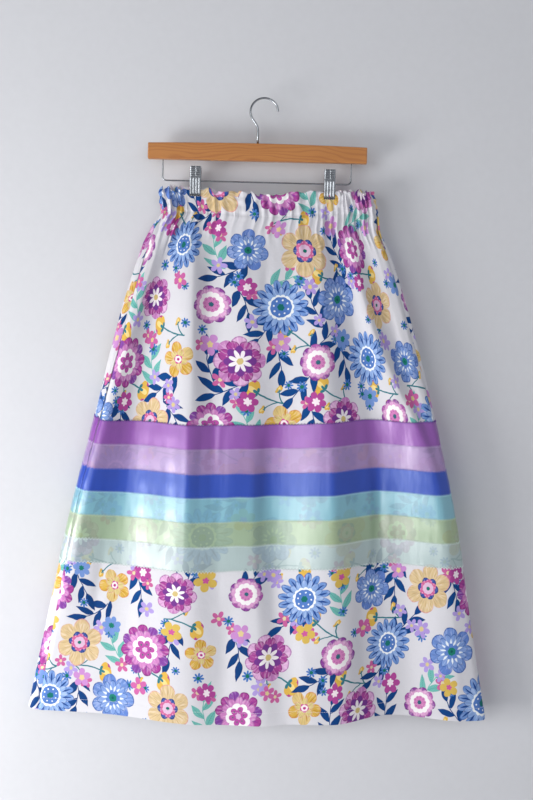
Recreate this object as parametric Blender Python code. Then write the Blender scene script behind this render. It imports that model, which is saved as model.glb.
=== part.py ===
"""A gathered ribbon skirt that hangs by its waist from a clip hanger.

The frame is in metres, +Z up and -Y towards the viewer. The origin is the inner top of the
hanger's hook, where the whole thing hangs. Every wall of cloth is worked out from one closed
section that runs round the skirt at each height: a front with its folds, a back with shallower
ones, and a round turn at each side. The gathers of the waist are small waves on that section.
"""
import math
import random
from collections import namedtuple

import bpy
import bmesh

MM = 0.001
GAP = 0.3 * MM                    # clearance kept between neighbouring pieces

# Skirt, measured down the cloth from its top edge
SKIRT_LENGTH = 840 * MM
CASING_DEPTH = 36 * MM            # the top edge is folded in and sewn down here over the elastic
GRIPPED_DEPTH = 13 * MM           # the clips press the two layers flat down to here
GATHER_FADE = 92 * MM             # the gathers have run out into the folds here
FOLD_START = 110 * MM             # the folds have their full depth from here down
HEM_DEPTH = 20 * MM
CASING_WALL = 3.0 * MM            # outer cloth, elastic and turned-in cloth together
CLOTH_WALL = 1.5 * MM
HEM_WALL = 2.2 * MM               # the hem is turned up twice
FLAT_WAIST = 490 * MM             # width of one panel's cut at the waist
FLAT_HEM = 775 * MM               # and at the hem
VALLEY_LIFT = 0.2                 # how much a valley is pulled up for each unit of its depth

# Ribbons, sewn round the skirt edge to edge
RIBBON_TOP = 368 * MM
RIBBON_PITCH = 38 * MM
RIBBON_WALL = 1.0 * MM
RIBBON_NAMES = ("orchid", "lilac", "royal", "aqua", "celery", "mint")
BACK_RIBBON_RISE = 5 * MM         # the ribbons of the back sit a little higher at the side seams

# Gathers: a wave has four columns, and three columns join into one below the gathers
COLUMNS_PER_GATHER = 4
COLUMNS_JOINED = 3
FRONT_GATHERS = 30
BACK_GATHERS = 24
GATHER_SPREAD = 0.22              # unevenness of the gathers' places, in pitches
GATHER_HEIGHTS = (0.75, 1.2)      # lowest and highest gather, as shares of the usual height
GATHER_MOST = 3.6 * MM            # half the height of the highest gather
GATHER_CLEARANCE = 0.1 * MM       # from the middle of the skirt
GATHER_SEED = 7

# Fineness of the section that the columns are laid on
TURN_STEPS = 12
LAYER_STEPS = 150

# Where the panels' cloth sits along the waist: part of the cut, part of the section's length
WAIST_SHARE = ((0.0, 0.0), (0.225, 0.19), (0.46, 0.50), (0.706, 0.79), (1.0, 1.0))

Outline = namedtuple("Outline", "drop left right left_forward right_forward")
OUTLINE = tuple(Outline(*(value * MM for value in row)) for row in (
    # drop, left edge, right edge, how far each edge stands in front of the hanger
    (0, -165, 174, 0, 0),
    (36, -162, 185, 0, 0),
    (60, -175, 187, 0, 0),
    (90, -188, 201, 1, 2),
    (175, -216, 231, 3, 5),
    (270, -241, 260, 5, 8),
    (385, -266, 290, 5, 9),
    (520, -297, 320, 4, 9),
    (680, -326, 349, 2, 10),
    (840, -355, 377, 0, 12)))

# Each fold is followed at four heights: at the waist, above the ribbons, on them and at the hem
FOLD_DROPS = (36 * MM, 205 * MM, 475 * MM, 840 * MM)
Fold = namedtuple("Fold", "name x_waist x_upper x_ribbon x_hem d_waist d_upper d_ribbon d_hem")
FRONT_FOLDS = (
    # places along X, then depths in front of the hanger, in millimetres
    Fold("left ridge", -147, -194, -259, -318, 11, 25, 37, 18),
    Fold("left valley", -131, -173, -204, -236, 7, 10, 22, 27),
    Fold("clip ridge", -108, -108, -108, -96, 5, 36, 46, 55),
    Fold("clip valley", -86, -80, -56, -36, 5, 20, 34, 48),
    Fold("middle ridge", -24, -22, -8, 18, 10, 30, 34, 51),
    Fold("middle valley", 52, 44, 34, 62, 9, 20, 22, 46),
    Fold("right ridge", 88, 98, 118, 129, 9, 34, 43, 54),
    Fold("right valley", 103, 146, 205, 227, 5, 12, 12, 8),
    Fold("outer ridge", 130, 173, 274, 330, 9, 29, 33, 31),
    Fold("outer valley", 148, 196, 288, 346, 8, 13, 30, 29),
    Fold("side ridge", 167, 215, 298, 361, 10, 19, 27, 27))
BACK_FOLDS = (
    # the same, with depths behind the hanger
    Fold("left ridge", -145, -176, -232, -292, 10, 14, 17, 17),
    Fold("left valley", -98, -122, -152, -184, 6, 7, 7, 9),
    Fold("left middle ridge", -50, -56, -68, -82, 8, 15, 18, 19),
    Fold("middle valley", 2, 6, 12, 22, 8, 8, 7, 9),
    Fold("right middle ridge", 54, 68, 92, 116, 8, 15, 18, 19),
    Fold("right valley", 98, 126, 168, 208, 6, 6, 7, 8),
    Fold("right ridge", 150, 188, 250, 312, 10, 14, 17, 17))

# Depth of either layer from the hanger's plane where the clips hold it, and between them
WAIST_DEPTH = tuple((x * MM, depth * MM) for x, depth in (
    (-147, 11), (-121, 3.15), (-94, 3.15), (-45, 7.5), (0, 8.5), (45, 7.5), (94, 3.15),
    (121, 3.15), (160, 11)))
# Height of the top edge along X, and how far the back's edge stands above it
TOP_EDGE = tuple((x * MM, z * MM) for x, z in (
    (-165, -149), (-107, -147.5), (0, -152.5), (107, -145.5), (174, -145)))
BACK_PEEK = tuple((x * MM, rise * MM) for x, rise in (
    (-160, 0), (-136, 6), (-120, 5), (-107, 2), (-60, 0), (174, 0)))
# Depth of the front's highest ridge, from which the lift of its valleys is counted
RIDGE_DEPTH = tuple((drop * MM, depth * MM) for drop, depth in (
    (0, 9), (36, 11), (205, 36), (475, 46), (840, 54)))
# Distance along the section from each side edge to the seam on the front
LEFT_SEAM = tuple((drop * MM, reach * MM) for drop, reach in (
    (0, 9), (36, 10), (205, 18), (475, 20), (840, 20)))
RIGHT_SEAM = tuple((drop * MM, reach * MM) for drop, reach in (
    (0, 6), (205, 9), (475, 5), (840, 2)))

# Hanger
HOOK_WIRE = 3.4 * MM
HOOK_RADIUS = 22 * MM             # of the wire's centreline
HOOK_TIP_ANGLE = 3                # degrees above the level of the hook's centre
HOOK_BACK_ANGLE = 215             # where the round part runs out into a straight slope
STEM_X = -9.4 * MM
STEM_BEND_Z = -45.2 * MM          # the slope meets the upright stem here
STEM_BEND_REACH = 5 * MM
BAR_CENTRE = -9.3 * MM
BAR_LENGTH = 350 * MM
BAR_TOP = -72 * MM
BAR_HEIGHT = 28 * MM
BAR_THICKNESS = 12 * MM
BAR_CROWN = 2.5 * MM              # the top edge is this much higher in the middle
BAR_EDGE = 1.2 * MM
RAIL_WIRE = 2.5 * MM
RAIL_LEFT = -160 * MM
RAIL_RIGHT = 141 * MM
RAIL_Z = -133.6 * MM
RAIL_BEND = 6 * MM

# Clips: two jaws of folded sheet about the rail, with a spring coiled on it between them
CLIPS = (("left", -107.4 * MM), ("right", 107.2 * MM))
JAW_WIDTH = 18 * MM
JAW_SHEET = 1.0 * MM
JAW_FLANGE = 1.4 * MM
Jaw = namedtuple("Jaw", "z face flange")
JAW = tuple(Jaw(*(value * MM for value in row)) for row in (
    # height, depth of the outer face, depth that the side flanges reach in to
    (-111, 9.0, 7.0),
    (-119, 8.2, 6.4),
    (-126, 7.9, 1.55),
    (-137.5, 6.9, 1.55),
    (-141, 6.6, 4.7),
    (-146.5, 5.4, 4.2),
    (-151, 4.6, 3.6),
    (-155.5, 4.45, 3.45),
    (-159, 6.4, 5.4)))
SPRING_WIRE = 1.2 * MM
SPRING_TURNS = 4
SPRING_POINTS = 10
SPRING_HALF_WIDTH = 6.2 * MM
SPRING_ARM_Z = -120 * MM


def clear_scene():
    for item in list(bpy.data.objects):
        bpy.data.objects.remove(item, do_unlink=True)


def make_material(name, colour, roughness, metallic=0.0):
    material = bpy.data.materials.new(name)
    material.use_nodes = True
    shader = material.node_tree.nodes["Principled BSDF"]
    shader.inputs["Base Color"].default_value = (*colour, 1.0)
    shader.inputs["Roughness"].default_value = roughness
    shader.inputs["Metallic"].default_value = metallic
    return material


def add_object(name, vertices, faces, material, smooth_angle=40):
    """One closed body, with its faces turned outwards."""
    shape = bmesh.new()
    corners = [shape.verts.new(vertex) for vertex in vertices]
    for face in faces:
        shape.faces.new([corners[index] for index in face])
    bmesh.ops.recalc_face_normals(shape, faces=shape.faces)
    if shape.calc_volume(signed=True) < 0:
        bmesh.ops.reverse_faces(shape, faces=shape.faces)
    mesh = bpy.data.meshes.new(name)
    shape.to_mesh(mesh)
    shape.free()
    mesh.shade_smooth()
    mesh.set_sharp_from_angle(angle=math.radians(smooth_angle))
    mesh.materials.append(material)
    item = bpy.data.objects.new(name, mesh)
    bpy.context.scene.collection.objects.link(item)
    return item


def ease(value):
    """A smooth step from 0 to 1."""
    value = min(1.0, max(0.0, value))
    return value * value * (3 - 2 * value)


def mix(start, end, share):
    return start + (end - start) * share


def along(knots, place):
    """Read a smooth curve through knots of (place, value) that never swings past a knot."""
    if place <= knots[0][0]:
        return knots[0][1]
    if place >= knots[-1][0]:
        return knots[-1][1]
    index = max(i for i in range(len(knots) - 1) if knots[i][0] <= place)
    (x0, y0), (x1, y1) = knots[index], knots[index + 1]
    slope = (y1 - y0) / (x1 - x0)
    before = slope_at(knots, index, slope)
    after = slope_at(knots, index + 1, slope)
    t = (place - x0) / (x1 - x0)
    width = x1 - x0
    return (y0 * (1 + 2 * t) * (1 - t) ** 2 + before * width * t * (1 - t) ** 2
            + y1 * t * t * (3 - 2 * t) + after * width * t * t * (t - 1))


def slope_at(knots, index, end_slope):
    """Slope of that curve at a knot: level at each ridge and valley."""
    if index == 0 or index == len(knots) - 1:
        return end_slope
    (x0, y0), (x1, y1), (x2, y2) = knots[index - 1:index + 2]
    left = (y1 - y0) / (x1 - x0)
    right = (y2 - y1) / (x2 - x1)
    if left * right <= 0:
        return 0.0
    return 2 * left * right / (left + right)


def fold_lines(folds, drop):
    """Place and depth of each ridge and valley at one drop below the top edge."""
    lines = []
    for fold in folds:
        places = (fold.x_waist, fold.x_upper, fold.x_ribbon, fold.x_hem)
        depths = (fold.d_waist, fold.d_upper, fold.d_ribbon, fold.d_hem)
        lines.append((along(tuple(zip(FOLD_DROPS, places)), drop) * MM,
                      along(tuple(zip(FOLD_DROPS, depths)), drop) * MM))
    return lines


def layer_curve(folds, drop, side):
    """Points of one layer of the section, from the left edge to the right edge.

    The side is -1 for the front, towards the viewer, and 1 for the back.
    """
    left = along([(row.drop, row.left) for row in OUTLINE], drop)
    right = along([(row.drop, row.right) for row in OUTLINE], drop)
    left_forward = along([(row.drop, row.left_forward) for row in OUTLINE], drop)
    right_forward = along([(row.drop, row.right_forward) for row in OUTLINE], drop)
    lines = fold_lines(folds, drop)
    fold_share = ease((drop - GRIPPED_DEPTH) / (FOLD_START - GRIPPED_DEPTH))

    def depth(x):
        return mix(along(WAIST_DEPTH, x), along(lines, x), fold_share)

    def turn(edge, edge_forward, crest):
        """The quarter turn from a side edge to the nearest ridge."""
        edge_y = -edge_forward
        crest_y = side * depth(crest)
        angles = [math.radians(90 * step / TURN_STEPS) for step in range(TURN_STEPS)]
        return [(crest + (edge - crest) * math.cos(angle), mix(edge_y, crest_y, math.sin(angle)))
                for angle in angles]

    first, last = lines[0][0], lines[-1][0]
    middle = [mix(first, last, step / LAYER_STEPS) for step in range(LAYER_STEPS + 1)]
    points = turn(left, left_forward, first)
    points += [(x, side * depth(x)) for x in middle]
    points += reversed(turn(right, right_forward, last))
    return points


def section(drop):
    """The closed section at one drop: its points, their distances along it, and its two seams.

    It runs from the left edge over the front to the right edge and back behind.
    """
    front = layer_curve(FRONT_FOLDS, drop, -1)
    back = layer_curve(BACK_FOLDS, drop, 1)
    points = front + back[-2:0:-1]
    points.append(points[0])
    distances = [0.0]
    for before, after in zip(points, points[1:]):
        distances.append(distances[-1] + math.dist(before, after))
    left_seam = along(LEFT_SEAM, drop)
    right_seam = distances[len(front) - 1] - along(RIGHT_SEAM, drop)
    return points, distances, left_seam, right_seam


def point_on(points, distances, distance):
    """Point at a distance along the closed section."""
    distance %= distances[-1]
    low, high = 0, len(distances) - 1
    while high - low > 1:
        middle = (low + high) // 2
        if distances[middle] <= distance:
            low = middle
        else:
            high = middle
    share = (distance - distances[low]) / max(distances[high] - distances[low], 1e-9)
    return (mix(points[low][0], points[high][0], share), mix(points[low][1], points[high][1], share))


def outward_on(points, distances, distance, reach=3 * MM):
    """Level direction that points out of the skirt, across the smooth section."""
    before = point_on(points, distances, distance - reach)
    after = point_on(points, distances, distance + reach)
    along_x, along_y = after[0] - before[0], after[1] - before[1]
    length = math.hypot(along_x, along_y)
    return along_y / length, -along_x / length


def wall_at(drop):
    if drop <= CASING_DEPTH:
        return CASING_WALL
    if drop >= SKIRT_LENGTH - HEM_DEPTH:
        return HEM_WALL
    return CLOTH_WALL


def gather_places(count, seed):
    """Places of a panel's columns across its cut, and how much each gather stands out."""
    spread = random.Random(seed)
    shifts = [0.0] + [spread.uniform(-GATHER_SPREAD, GATHER_SPREAD) for _ in range(count - 1)] + [0.0]
    heights = [spread.uniform(*GATHER_HEIGHTS) for _ in range(count)]
    places = []
    for gather in range(count):
        for column in range(COLUMNS_PER_GATHER):
            share = column / COLUMNS_PER_GATHER
            shift = mix(shifts[gather], shifts[gather + 1], share)
            places.append((gather + share + shift) / count)
    places.append(1.0)
    return places, heights


def panel_row(drop, side, gathers, fine):
    """One row of a panel's columns: a list of (x, y, z, outward x, outward y, cut place).

    The front runs from the left seam to the right seam, and the back from the right seam behind
    to the left one. Above the gathers' end a row has every column, and below it every third.
    """
    points, distances, left_seam, right_seam = section(drop)
    top_points, top_distances, top_left, top_right = section(0.0)
    if side < 0:
        start, end, top_start, top_end = left_seam, right_seam, top_left, top_right
    else:
        start, end = right_seam, distances[-1] + left_seam
        top_start, top_end = top_right, top_distances[-1] + top_left
    start, end = start + GAP / 2, end - GAP / 2
    places, heights = gather_places(gathers, GATHER_SEED + side)
    flat = mix(FLAT_WAIST, FLAT_HEM, drop / SKIRT_LENGTH)
    spread = drop / SKIRT_LENGTH
    row = []
    for index in range(0, len(places), 1 if fine else COLUMNS_JOINED):
        place = places[index]
        at_waist = along(WAIST_SHARE, place)
        if side > 0:
            at_waist = 1 - along(WAIST_SHARE, 1 - place)
        share = mix(at_waist, place, spread)
        distance = mix(start, end, share)
        x, y = point_on(points, distances, distance)
        out_x, out_y = outward_on(points, distances, distance)
        gather = min(index // COLUMNS_PER_GATHER, gathers - 1)
        phase = (index % COLUMNS_PER_GATHER) * math.tau / COLUMNS_PER_GATHER
        swing = gather_swing(drop, place, side, flat / gathers, (end - start) / gathers, abs(y))
        swing *= heights[gather] * round(math.sin(phase))
        top_x = point_on(top_points, top_distances, mix(top_start, top_end, at_waist))[0]
        lift = VALLEY_LIFT * (along(RIDGE_DEPTH, drop) + y) * ease(drop / FOLD_START)
        z = along(TOP_EDGE, top_x) - drop + lift
        if side > 0:
            z += along(BACK_PEEK, top_x) * (1 - ease(drop / GRIPPED_DEPTH))
        row.append((x + out_x * swing, y + out_y * swing, z, out_x, out_y, place))
    return row


def gather_swing(drop, place, side, cut_pitch, even_pitch, depth):
    """Half the height of the gathers, from how much cloth the waist takes up at this place."""
    step = 0.01
    here = place if side < 0 else 1 - place
    crowding = (along(WAIST_SHARE, here + step) - along(WAIST_SHARE, here - step)) / (2 * step)
    if here < step or here > 1 - step:
        crowding *= 2
    pitch = even_pitch * mix(crowding, 1.0, drop / SKIRT_LENGTH)
    fullness = max(1.0, cut_pitch / pitch)
    swing = pitch / 4 * math.sqrt(fullness ** 2 - 1)
    swing *= 1 - ease((drop - CASING_DEPTH) / (GATHER_FADE - CASING_DEPTH))
    room = max(0.0, depth - wall_at(drop) - GATHER_CLEARANCE)
    return min(swing, room, GATHER_MOST)


def rows_to_wall(rows, walls, lift_off=0.0):
    """Outer and inner points of a wall whose inner face lies below its outer one.

    A wall that lies on another one is moved out by lift_off and stands above the rows' points.
    """
    outer, inner = [], []
    for row, wall in zip(rows, walls):
        high = lift_off + wall if lift_off else 0.0
        low = lift_off if lift_off else -wall
        outer.append([(x + ox * high, y + oy * high, z) for x, y, z, ox, oy, _ in row])
        inner.append([(x + ox * low, y + oy * low, z) for x, y, z, ox, oy, _ in row])
    return outer, inner


def strip(upper, lower, faces, flip):
    """Triangles between two rows of point numbers; the lower row may have a third of them."""
    cells = len(lower) - 1
    joined = (len(upper) - 1) // cells
    for cell in range(cells):
        top = upper[cell * joined:(cell + 1) * joined + 1]
        fan = [(top[i], lower[cell], top[i + 1]) for i in range(joined)]
        fan.append((top[joined], lower[cell], lower[cell + 1]))
        faces += [face[::-1] if flip else face for face in fan]


def wall_object(name, rows, walls, material, lift_off=0.0):
    """A closed wall from its rows of columns."""
    outer, inner = rows_to_wall(rows, walls, lift_off)
    vertices, faces = [], []
    numbers = []
    for grid in (outer, inner):
        layer = []
        for row in grid:
            layer.append(list(range(len(vertices), len(vertices) + len(row))))
            vertices += row
        numbers.append(layer)
    front, back = numbers
    for index in range(len(rows) - 1):
        strip(front[index], front[index + 1], faces, False)
        strip(back[index], back[index + 1], faces, True)
        for edge, flip in ((0, False), (-1, True)):
            quad = (front[index][edge], back[index][edge], back[index + 1][edge],
                    front[index + 1][edge])
            halves = [(quad[0], quad[1], quad[2]), (quad[0], quad[2], quad[3])]
            faces += [face[::-1] if flip else face for face in halves]
    for level, flip in ((0, True), (-1, False)):
        for column in range(len(front[level]) - 1):
            quad = (front[level][column], back[level][column], back[level][column + 1],
                    front[level][column + 1])
            halves = [(quad[0], quad[1], quad[2]), (quad[0], quad[2], quad[3])]
            faces += [face[::-1] if flip else face for face in halves]
    return add_object(name, vertices, faces, material)


def ribbon_start(number, side):
    rise = BACK_RIBBON_RISE if side > 0 else 0.0
    return RIBBON_TOP - rise + number * RIBBON_PITCH


def panel_drops(side):
    """Drops of a panel's rows: the gathered ones, then those that the ribbons' edges share."""
    gathered = [0.0, GRIPPED_DEPTH, CASING_DEPTH, 62 * MM, GATHER_FADE]
    upper = [mix(GATHER_FADE, ribbon_start(0, side), step / 6) for step in range(1, 6)]
    ribboned = [ribbon_start(number, side) for number in range(len(RIBBON_NAMES) + 1)]
    turn_up = SKIRT_LENGTH - HEM_DEPTH
    lower = [mix(ribboned[-1], turn_up, step / 4) for step in range(1, 5)]
    return gathered, upper + ribboned + lower + [SKIRT_LENGTH]


def build_panel(name, side, gathers, material):
    gathered, plain = panel_drops(side)
    rows = [panel_row(drop, side, gathers, True) for drop in gathered]
    rows += [panel_row(drop, side, gathers, False) for drop in plain]
    walls = [wall_at(drop) for drop in gathered + plain]
    wall_object(name, rows, walls, material)


def build_ribbons(prefix, side, gathers, materials):
    for number, colour in enumerate(RIBBON_NAMES):
        top = ribbon_start(number, side) + GAP / 2
        bottom = ribbon_start(number + 1, side) - GAP / 2
        rows = [panel_row(drop, side, gathers, False) for drop in (top, bottom)]
        walls = [RIBBON_WALL, RIBBON_WALL]
        wall_object(prefix + colour, rows, walls, materials[colour], GAP)


def build_wire(name, points, thickness, material, sides=2):
    """A round wire along a list of points, with closed ends."""
    curve = bpy.data.curves.new(name, "CURVE")
    curve.dimensions = "3D"
    curve.bevel_depth = thickness / 2
    curve.bevel_resolution = sides
    curve.use_fill_caps = True
    spline = curve.splines.new("POLY")
    spline.points.add(len(points) - 1)
    for slot, point in zip(spline.points, points):
        slot.co = (*point, 1.0)
    curve.materials.append(material)
    item = bpy.data.objects.new(name, curve)
    bpy.context.scene.collection.objects.link(item)


def build_hook(material):
    """An open round hook that slopes in at the back to a straight upright stem."""
    centre_z = HOOK_WIRE / 2 - HOOK_RADIUS
    arc_steps, bend_steps = 18, 4
    points = []
    for step in range(arc_steps + 1):
        angle = math.radians(mix(HOOK_TIP_ANGLE, HOOK_BACK_ANGLE, step / arc_steps))
        points.append((HOOK_RADIUS * math.cos(angle), 0.0, centre_z + HOOK_RADIUS * math.sin(angle)))
    slope_x, slope_z = STEM_X - points[-1][0], STEM_BEND_Z - points[-1][2]
    slope = math.hypot(slope_x, slope_z)
    bend_x = STEM_X - slope_x / slope * STEM_BEND_REACH
    bend_z = STEM_BEND_Z - slope_z / slope * STEM_BEND_REACH
    for step in range(bend_steps + 1):
        t = step / bend_steps
        x = mix(mix(bend_x, STEM_X, t), STEM_X, t)
        z = mix(mix(bend_z, STEM_BEND_Z, t), mix(STEM_BEND_Z, STEM_BEND_Z - STEM_BEND_REACH, t), t)
        points.append((x, 0.0, z))
    points.append((STEM_X, 0.0, bar_top_at(STEM_X) + GAP))
    build_wire("hanger_hook", points, HOOK_WIRE, material)


def bar_top_at(x):
    return BAR_TOP - BAR_CROWN * (2 * (x - BAR_CENTRE) / BAR_LENGTH) ** 2


def build_bar(material):
    """A flat bar of wood with a crowned top edge and slightly rounded corners."""
    steps = 12
    left = BAR_CENTRE - BAR_LENGTH / 2
    bottom = BAR_TOP - BAR_HEIGHT
    outline = [(left, bottom), (left + BAR_LENGTH, bottom)]
    for step in range(steps + 1):
        x = left + BAR_LENGTH * (1 - step / steps)
        outline.append((x, bar_top_at(x)))
    half = BAR_THICKNESS / 2
    vertices = [(x, -half, z) for x, z in outline] + [(x, half, z) for x, z in outline]
    count = len(outline)
    faces = [tuple(range(count)), tuple(range(2 * count - 1, count - 1, -1))]
    for index in range(count):
        after = (index + 1) % count
        faces.append((index, index + count, after + count, after))
    item = add_object("hanger_bar", vertices, faces, material)
    bevel = item.modifiers.new("Rounded edges", "BEVEL")
    bevel.width = BAR_EDGE
    bevel.segments = 2
    bevel.limit_method = "ANGLE"
    bevel.angle_limit = math.radians(40)


def build_rail(material):
    """A wire that leaves the bar near each end and carries the clips."""
    top = BAR_TOP - BAR_HEIGHT - GAP
    points = [(RAIL_LEFT, 0.0, top)]
    for centre_x, first in ((RAIL_LEFT + RAIL_BEND, 180), (RAIL_RIGHT - RAIL_BEND, 270)):
        for step in range(5):
            angle = math.radians(first + 90 * step / 4)
            points.append((centre_x + RAIL_BEND * math.cos(angle), 0.0,
                           RAIL_Z + RAIL_BEND + RAIL_BEND * math.sin(angle)))
    points.append((RAIL_RIGHT, 0.0, top))
    build_wire("hanger_rail", points, RAIL_WIRE, material)


def build_jaw(name, centre_x, side, material):
    """One jaw: a folded sheet whose side flanges reach in to the rail."""
    vertices, faces = [], []
    half = JAW_WIDTH / 2
    for row in JAW:
        inside = row.face - JAW_SHEET
        ring = ((-half, row.face), (half, row.face), (half, row.flange), (half - JAW_FLANGE, row.flange),
                (half - JAW_FLANGE, inside), (JAW_FLANGE - half, inside),
                (JAW_FLANGE - half, row.flange), (-half, row.flange))
        vertices += [(centre_x + x, side * depth, row.z) for x, depth in ring]
    count = 8
    for level in range(len(JAW) - 1):
        for corner in range(count):
            after = (corner + 1) % count
            low, high = level * count, (level + 1) * count
            faces.append((low + corner, low + after, high + after, high + corner))
    faces.append(tuple(range(count)))
    faces.append(tuple(range(len(vertices) - 1, len(vertices) - count - 1, -1)))
    item = add_object(name, vertices, faces, material)
    shape = bmesh.new()
    shape.from_mesh(item.data)
    bmesh.ops.remove_doubles(shape, verts=shape.verts, dist=0.00001)
    bmesh.ops.triangulate(shape, faces=shape.faces)
    bmesh.ops.dissolve_degenerate(shape, dist=0.000005, edges=shape.edges)
    shape.to_mesh(item.data)
    shape.free()


def build_spring(name, centre_x, material):
    """A coil on the rail with one arm up the front jaw and one up the back jaw."""
    radius = RAIL_WIRE / 2 + GAP + SPRING_WIRE / 2
    arm_y = JAW[1].face - JAW_SHEET - GAP - SPRING_WIRE / 2
    points = [(centre_x - SPRING_HALF_WIDTH, -arm_y, SPRING_ARM_Z)]
    count = int((SPRING_TURNS + 0.5) * SPRING_POINTS)
    for step in range(count + 1):
        angle = math.pi + math.tau * step / SPRING_POINTS
        x = centre_x + mix(-SPRING_HALF_WIDTH, SPRING_HALF_WIDTH, step / count)
        points.append((x, radius * math.cos(angle), RAIL_Z + radius * math.sin(angle)))
    points.append((centre_x + SPRING_HALF_WIDTH, arm_y, SPRING_ARM_Z))
    build_wire(name, points, SPRING_WIRE, material, 1)


def build_hanger(wood, chrome):
    build_bar(wood)
    build_hook(chrome)
    build_rail(chrome)
    for place, centre_x in CLIPS:
        build_jaw("clip_" + place + "_front_jaw", centre_x, -1, chrome)
        build_jaw("clip_" + place + "_back_jaw", centre_x, 1, chrome)
        build_spring("clip_" + place + "_spring", centre_x, chrome)


def main():
    clear_scene()
    cotton = make_material("printed cotton", (0.80, 0.76, 0.80), 0.85)
    wood = make_material("varnished wood", (0.60, 0.27, 0.10), 0.45)
    chrome = make_material("chromed steel", (0.75, 0.75, 0.76), 0.15, 1.0)
    satin = {
        "orchid": make_material("orchid satin", (0.31, 0.10, 0.46), 0.35),
        "lilac": make_material("lilac satin", (0.52, 0.31, 0.58), 0.35),
        "royal": make_material("royal blue satin", (0.03, 0.09, 0.48), 0.35),
        "aqua": make_material("aqua satin", (0.22, 0.61, 0.72), 0.35),
        "celery": make_material("celery satin", (0.49, 0.65, 0.40), 0.35),
        "mint": make_material("pale mint satin", (0.68, 0.81, 0.76), 0.35)}
    build_panel("skirt_front", -1, FRONT_GATHERS, cotton)
    build_panel("skirt_back", 1, BACK_GATHERS, cotton)
    build_ribbons("ribbon_front_", -1, FRONT_GATHERS, satin)
    build_ribbons("ribbon_back_", 1, BACK_GATHERS, satin)
    build_hanger(wood, chrome)


main()
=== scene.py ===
"""The looks of a gathered ribbon skirt on its clip hanger.

The cloth's outline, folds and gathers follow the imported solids, with some places moved by a few
millimetres. Here they are worked out on a finer grid, with thinner walls, secondary creases,
sewing and printed cotton.
Lengths are in metres, +Z is up and -Y is towards the viewer.
"""
import math
import random
from collections import namedtuple

import bpy
import numpy as np
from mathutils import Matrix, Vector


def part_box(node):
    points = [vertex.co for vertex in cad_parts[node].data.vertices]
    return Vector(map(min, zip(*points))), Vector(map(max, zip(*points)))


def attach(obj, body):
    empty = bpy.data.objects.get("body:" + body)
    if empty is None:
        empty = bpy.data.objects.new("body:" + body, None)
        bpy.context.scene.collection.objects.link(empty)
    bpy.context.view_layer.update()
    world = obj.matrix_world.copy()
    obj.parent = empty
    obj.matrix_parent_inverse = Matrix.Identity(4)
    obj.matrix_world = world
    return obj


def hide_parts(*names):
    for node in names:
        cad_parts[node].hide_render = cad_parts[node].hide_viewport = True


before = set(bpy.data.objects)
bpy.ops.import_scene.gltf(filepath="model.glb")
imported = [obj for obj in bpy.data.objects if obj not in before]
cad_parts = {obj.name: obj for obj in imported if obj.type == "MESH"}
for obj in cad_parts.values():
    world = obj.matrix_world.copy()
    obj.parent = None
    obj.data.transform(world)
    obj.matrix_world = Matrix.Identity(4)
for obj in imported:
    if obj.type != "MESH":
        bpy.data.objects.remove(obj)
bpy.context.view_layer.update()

MM = 0.001
BODY = "root"


def plain(*row):
    return row


def in_metres(rows, kind=plain):
    """A table whose rows are written in millimetres."""
    return tuple(kind(*(value * MM for value in row)) for row in rows)


# Skirt, measured down the cloth from its top edge
SKIRT_LENGTH = 840 * MM
CASING_DEPTH = 36 * MM
GRIPPED_DEPTH = 13 * MM
GATHER_FADE = 92 * MM
FOLD_START = 110 * MM
HEM_DEPTH = 20 * MM
CASING_WALL = 2.4 * MM
CLOTH_WALL = 0.8 * MM
HEM_WALL = 1.5 * MM
FLAT_WAIST = 490 * MM
FLAT_HEM = 775 * MM
VALLEY_LIFT = 0.2
SEAM_GAP = 0.3 * MM

# Gathers
GATHER_SPREAD = 0.22
LOOSE_HEIGHTS = (0.3, 1.15)       # the finer cloth's gathers are less even than the solids'
MIDDLE_HEIGHT = 0.72              # between the clips they are this much lower
MIDDLE_WIDTH = 96 * MM
GATHER_MOST = 4.4 * MM
GATHER_CLEARANCE = 0.1 * MM
GATHER_SEED = 7

# A gather's place among the others, then its place across the waist, both as shares
WAIST_SHARE = ((0.0, 0.0), (0.225, 0.19), (0.46, 0.50), (0.706, 0.79), (1.0, 1.0))

Outline = namedtuple("Outline", "drop left right left_forward right_forward")
OUTLINE = in_metres((
    # drop, left edge, right edge, how far each edge stands in front of the hanger
    (0, -165, 174, 0, 0),
    (36, -162, 185, 0, 0),
    (60, -175, 187, 0, 0),
    (90, -188, 201, 1, 2),
    (175, -214, 230, 3, 5),
    (270, -237, 258, 5, 8),
    (385, -261.5, 287, 5, 9),
    (520, -292.5, 317, 4, 9),
    (680, -324, 346, 2, 10),
    (840, -354, 375, 0, 12)), Outline)

# Each fold is followed at four heights: at the waist, above the ribbons, on them and at the hem
FOLD_DROPS = (36 * MM, 205 * MM, 475 * MM, 840 * MM)
Fold = namedtuple("Fold", "name x_waist x_upper x_ribbon x_hem d_waist d_upper d_ribbon d_hem")
FRONT_FOLDS = tuple(Fold(*row) for row in (
    # places along X, then depths in front of the hanger, in millimetres
    ("left ridge", -147, -194, -259, -318, 11, 25, 37, 18),
    ("left valley", -131, -173, -204, -236, 7, 10, 22, 27),
    ("clip ridge", -108, -107, -104, -95, 5, 36, 46, 55),
    ("clip valley", -86, -80, -56, -36, 5, 20, 34, 48),
    ("middle ridge", -24, -22, -8, 18, 10, 30, 34, 51),
    ("middle valley", 52, 44, 28, 58, 9, 20, 22, 46),
    ("right ridge", 88, 98, 118, 129, 9, 34, 43, 54),
    ("right valley", 103, 146, 198, 224, 5, 12, 12, 8),
    ("outer ridge", 130, 173, 288, 332, 9, 29, 37, 31),
    ("outer valley", 148, 196, 297, 346, 8, 13, 34, 29),
    ("side ridge", 167, 215, 304, 360, 10, 19, 30, 27)))
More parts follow.
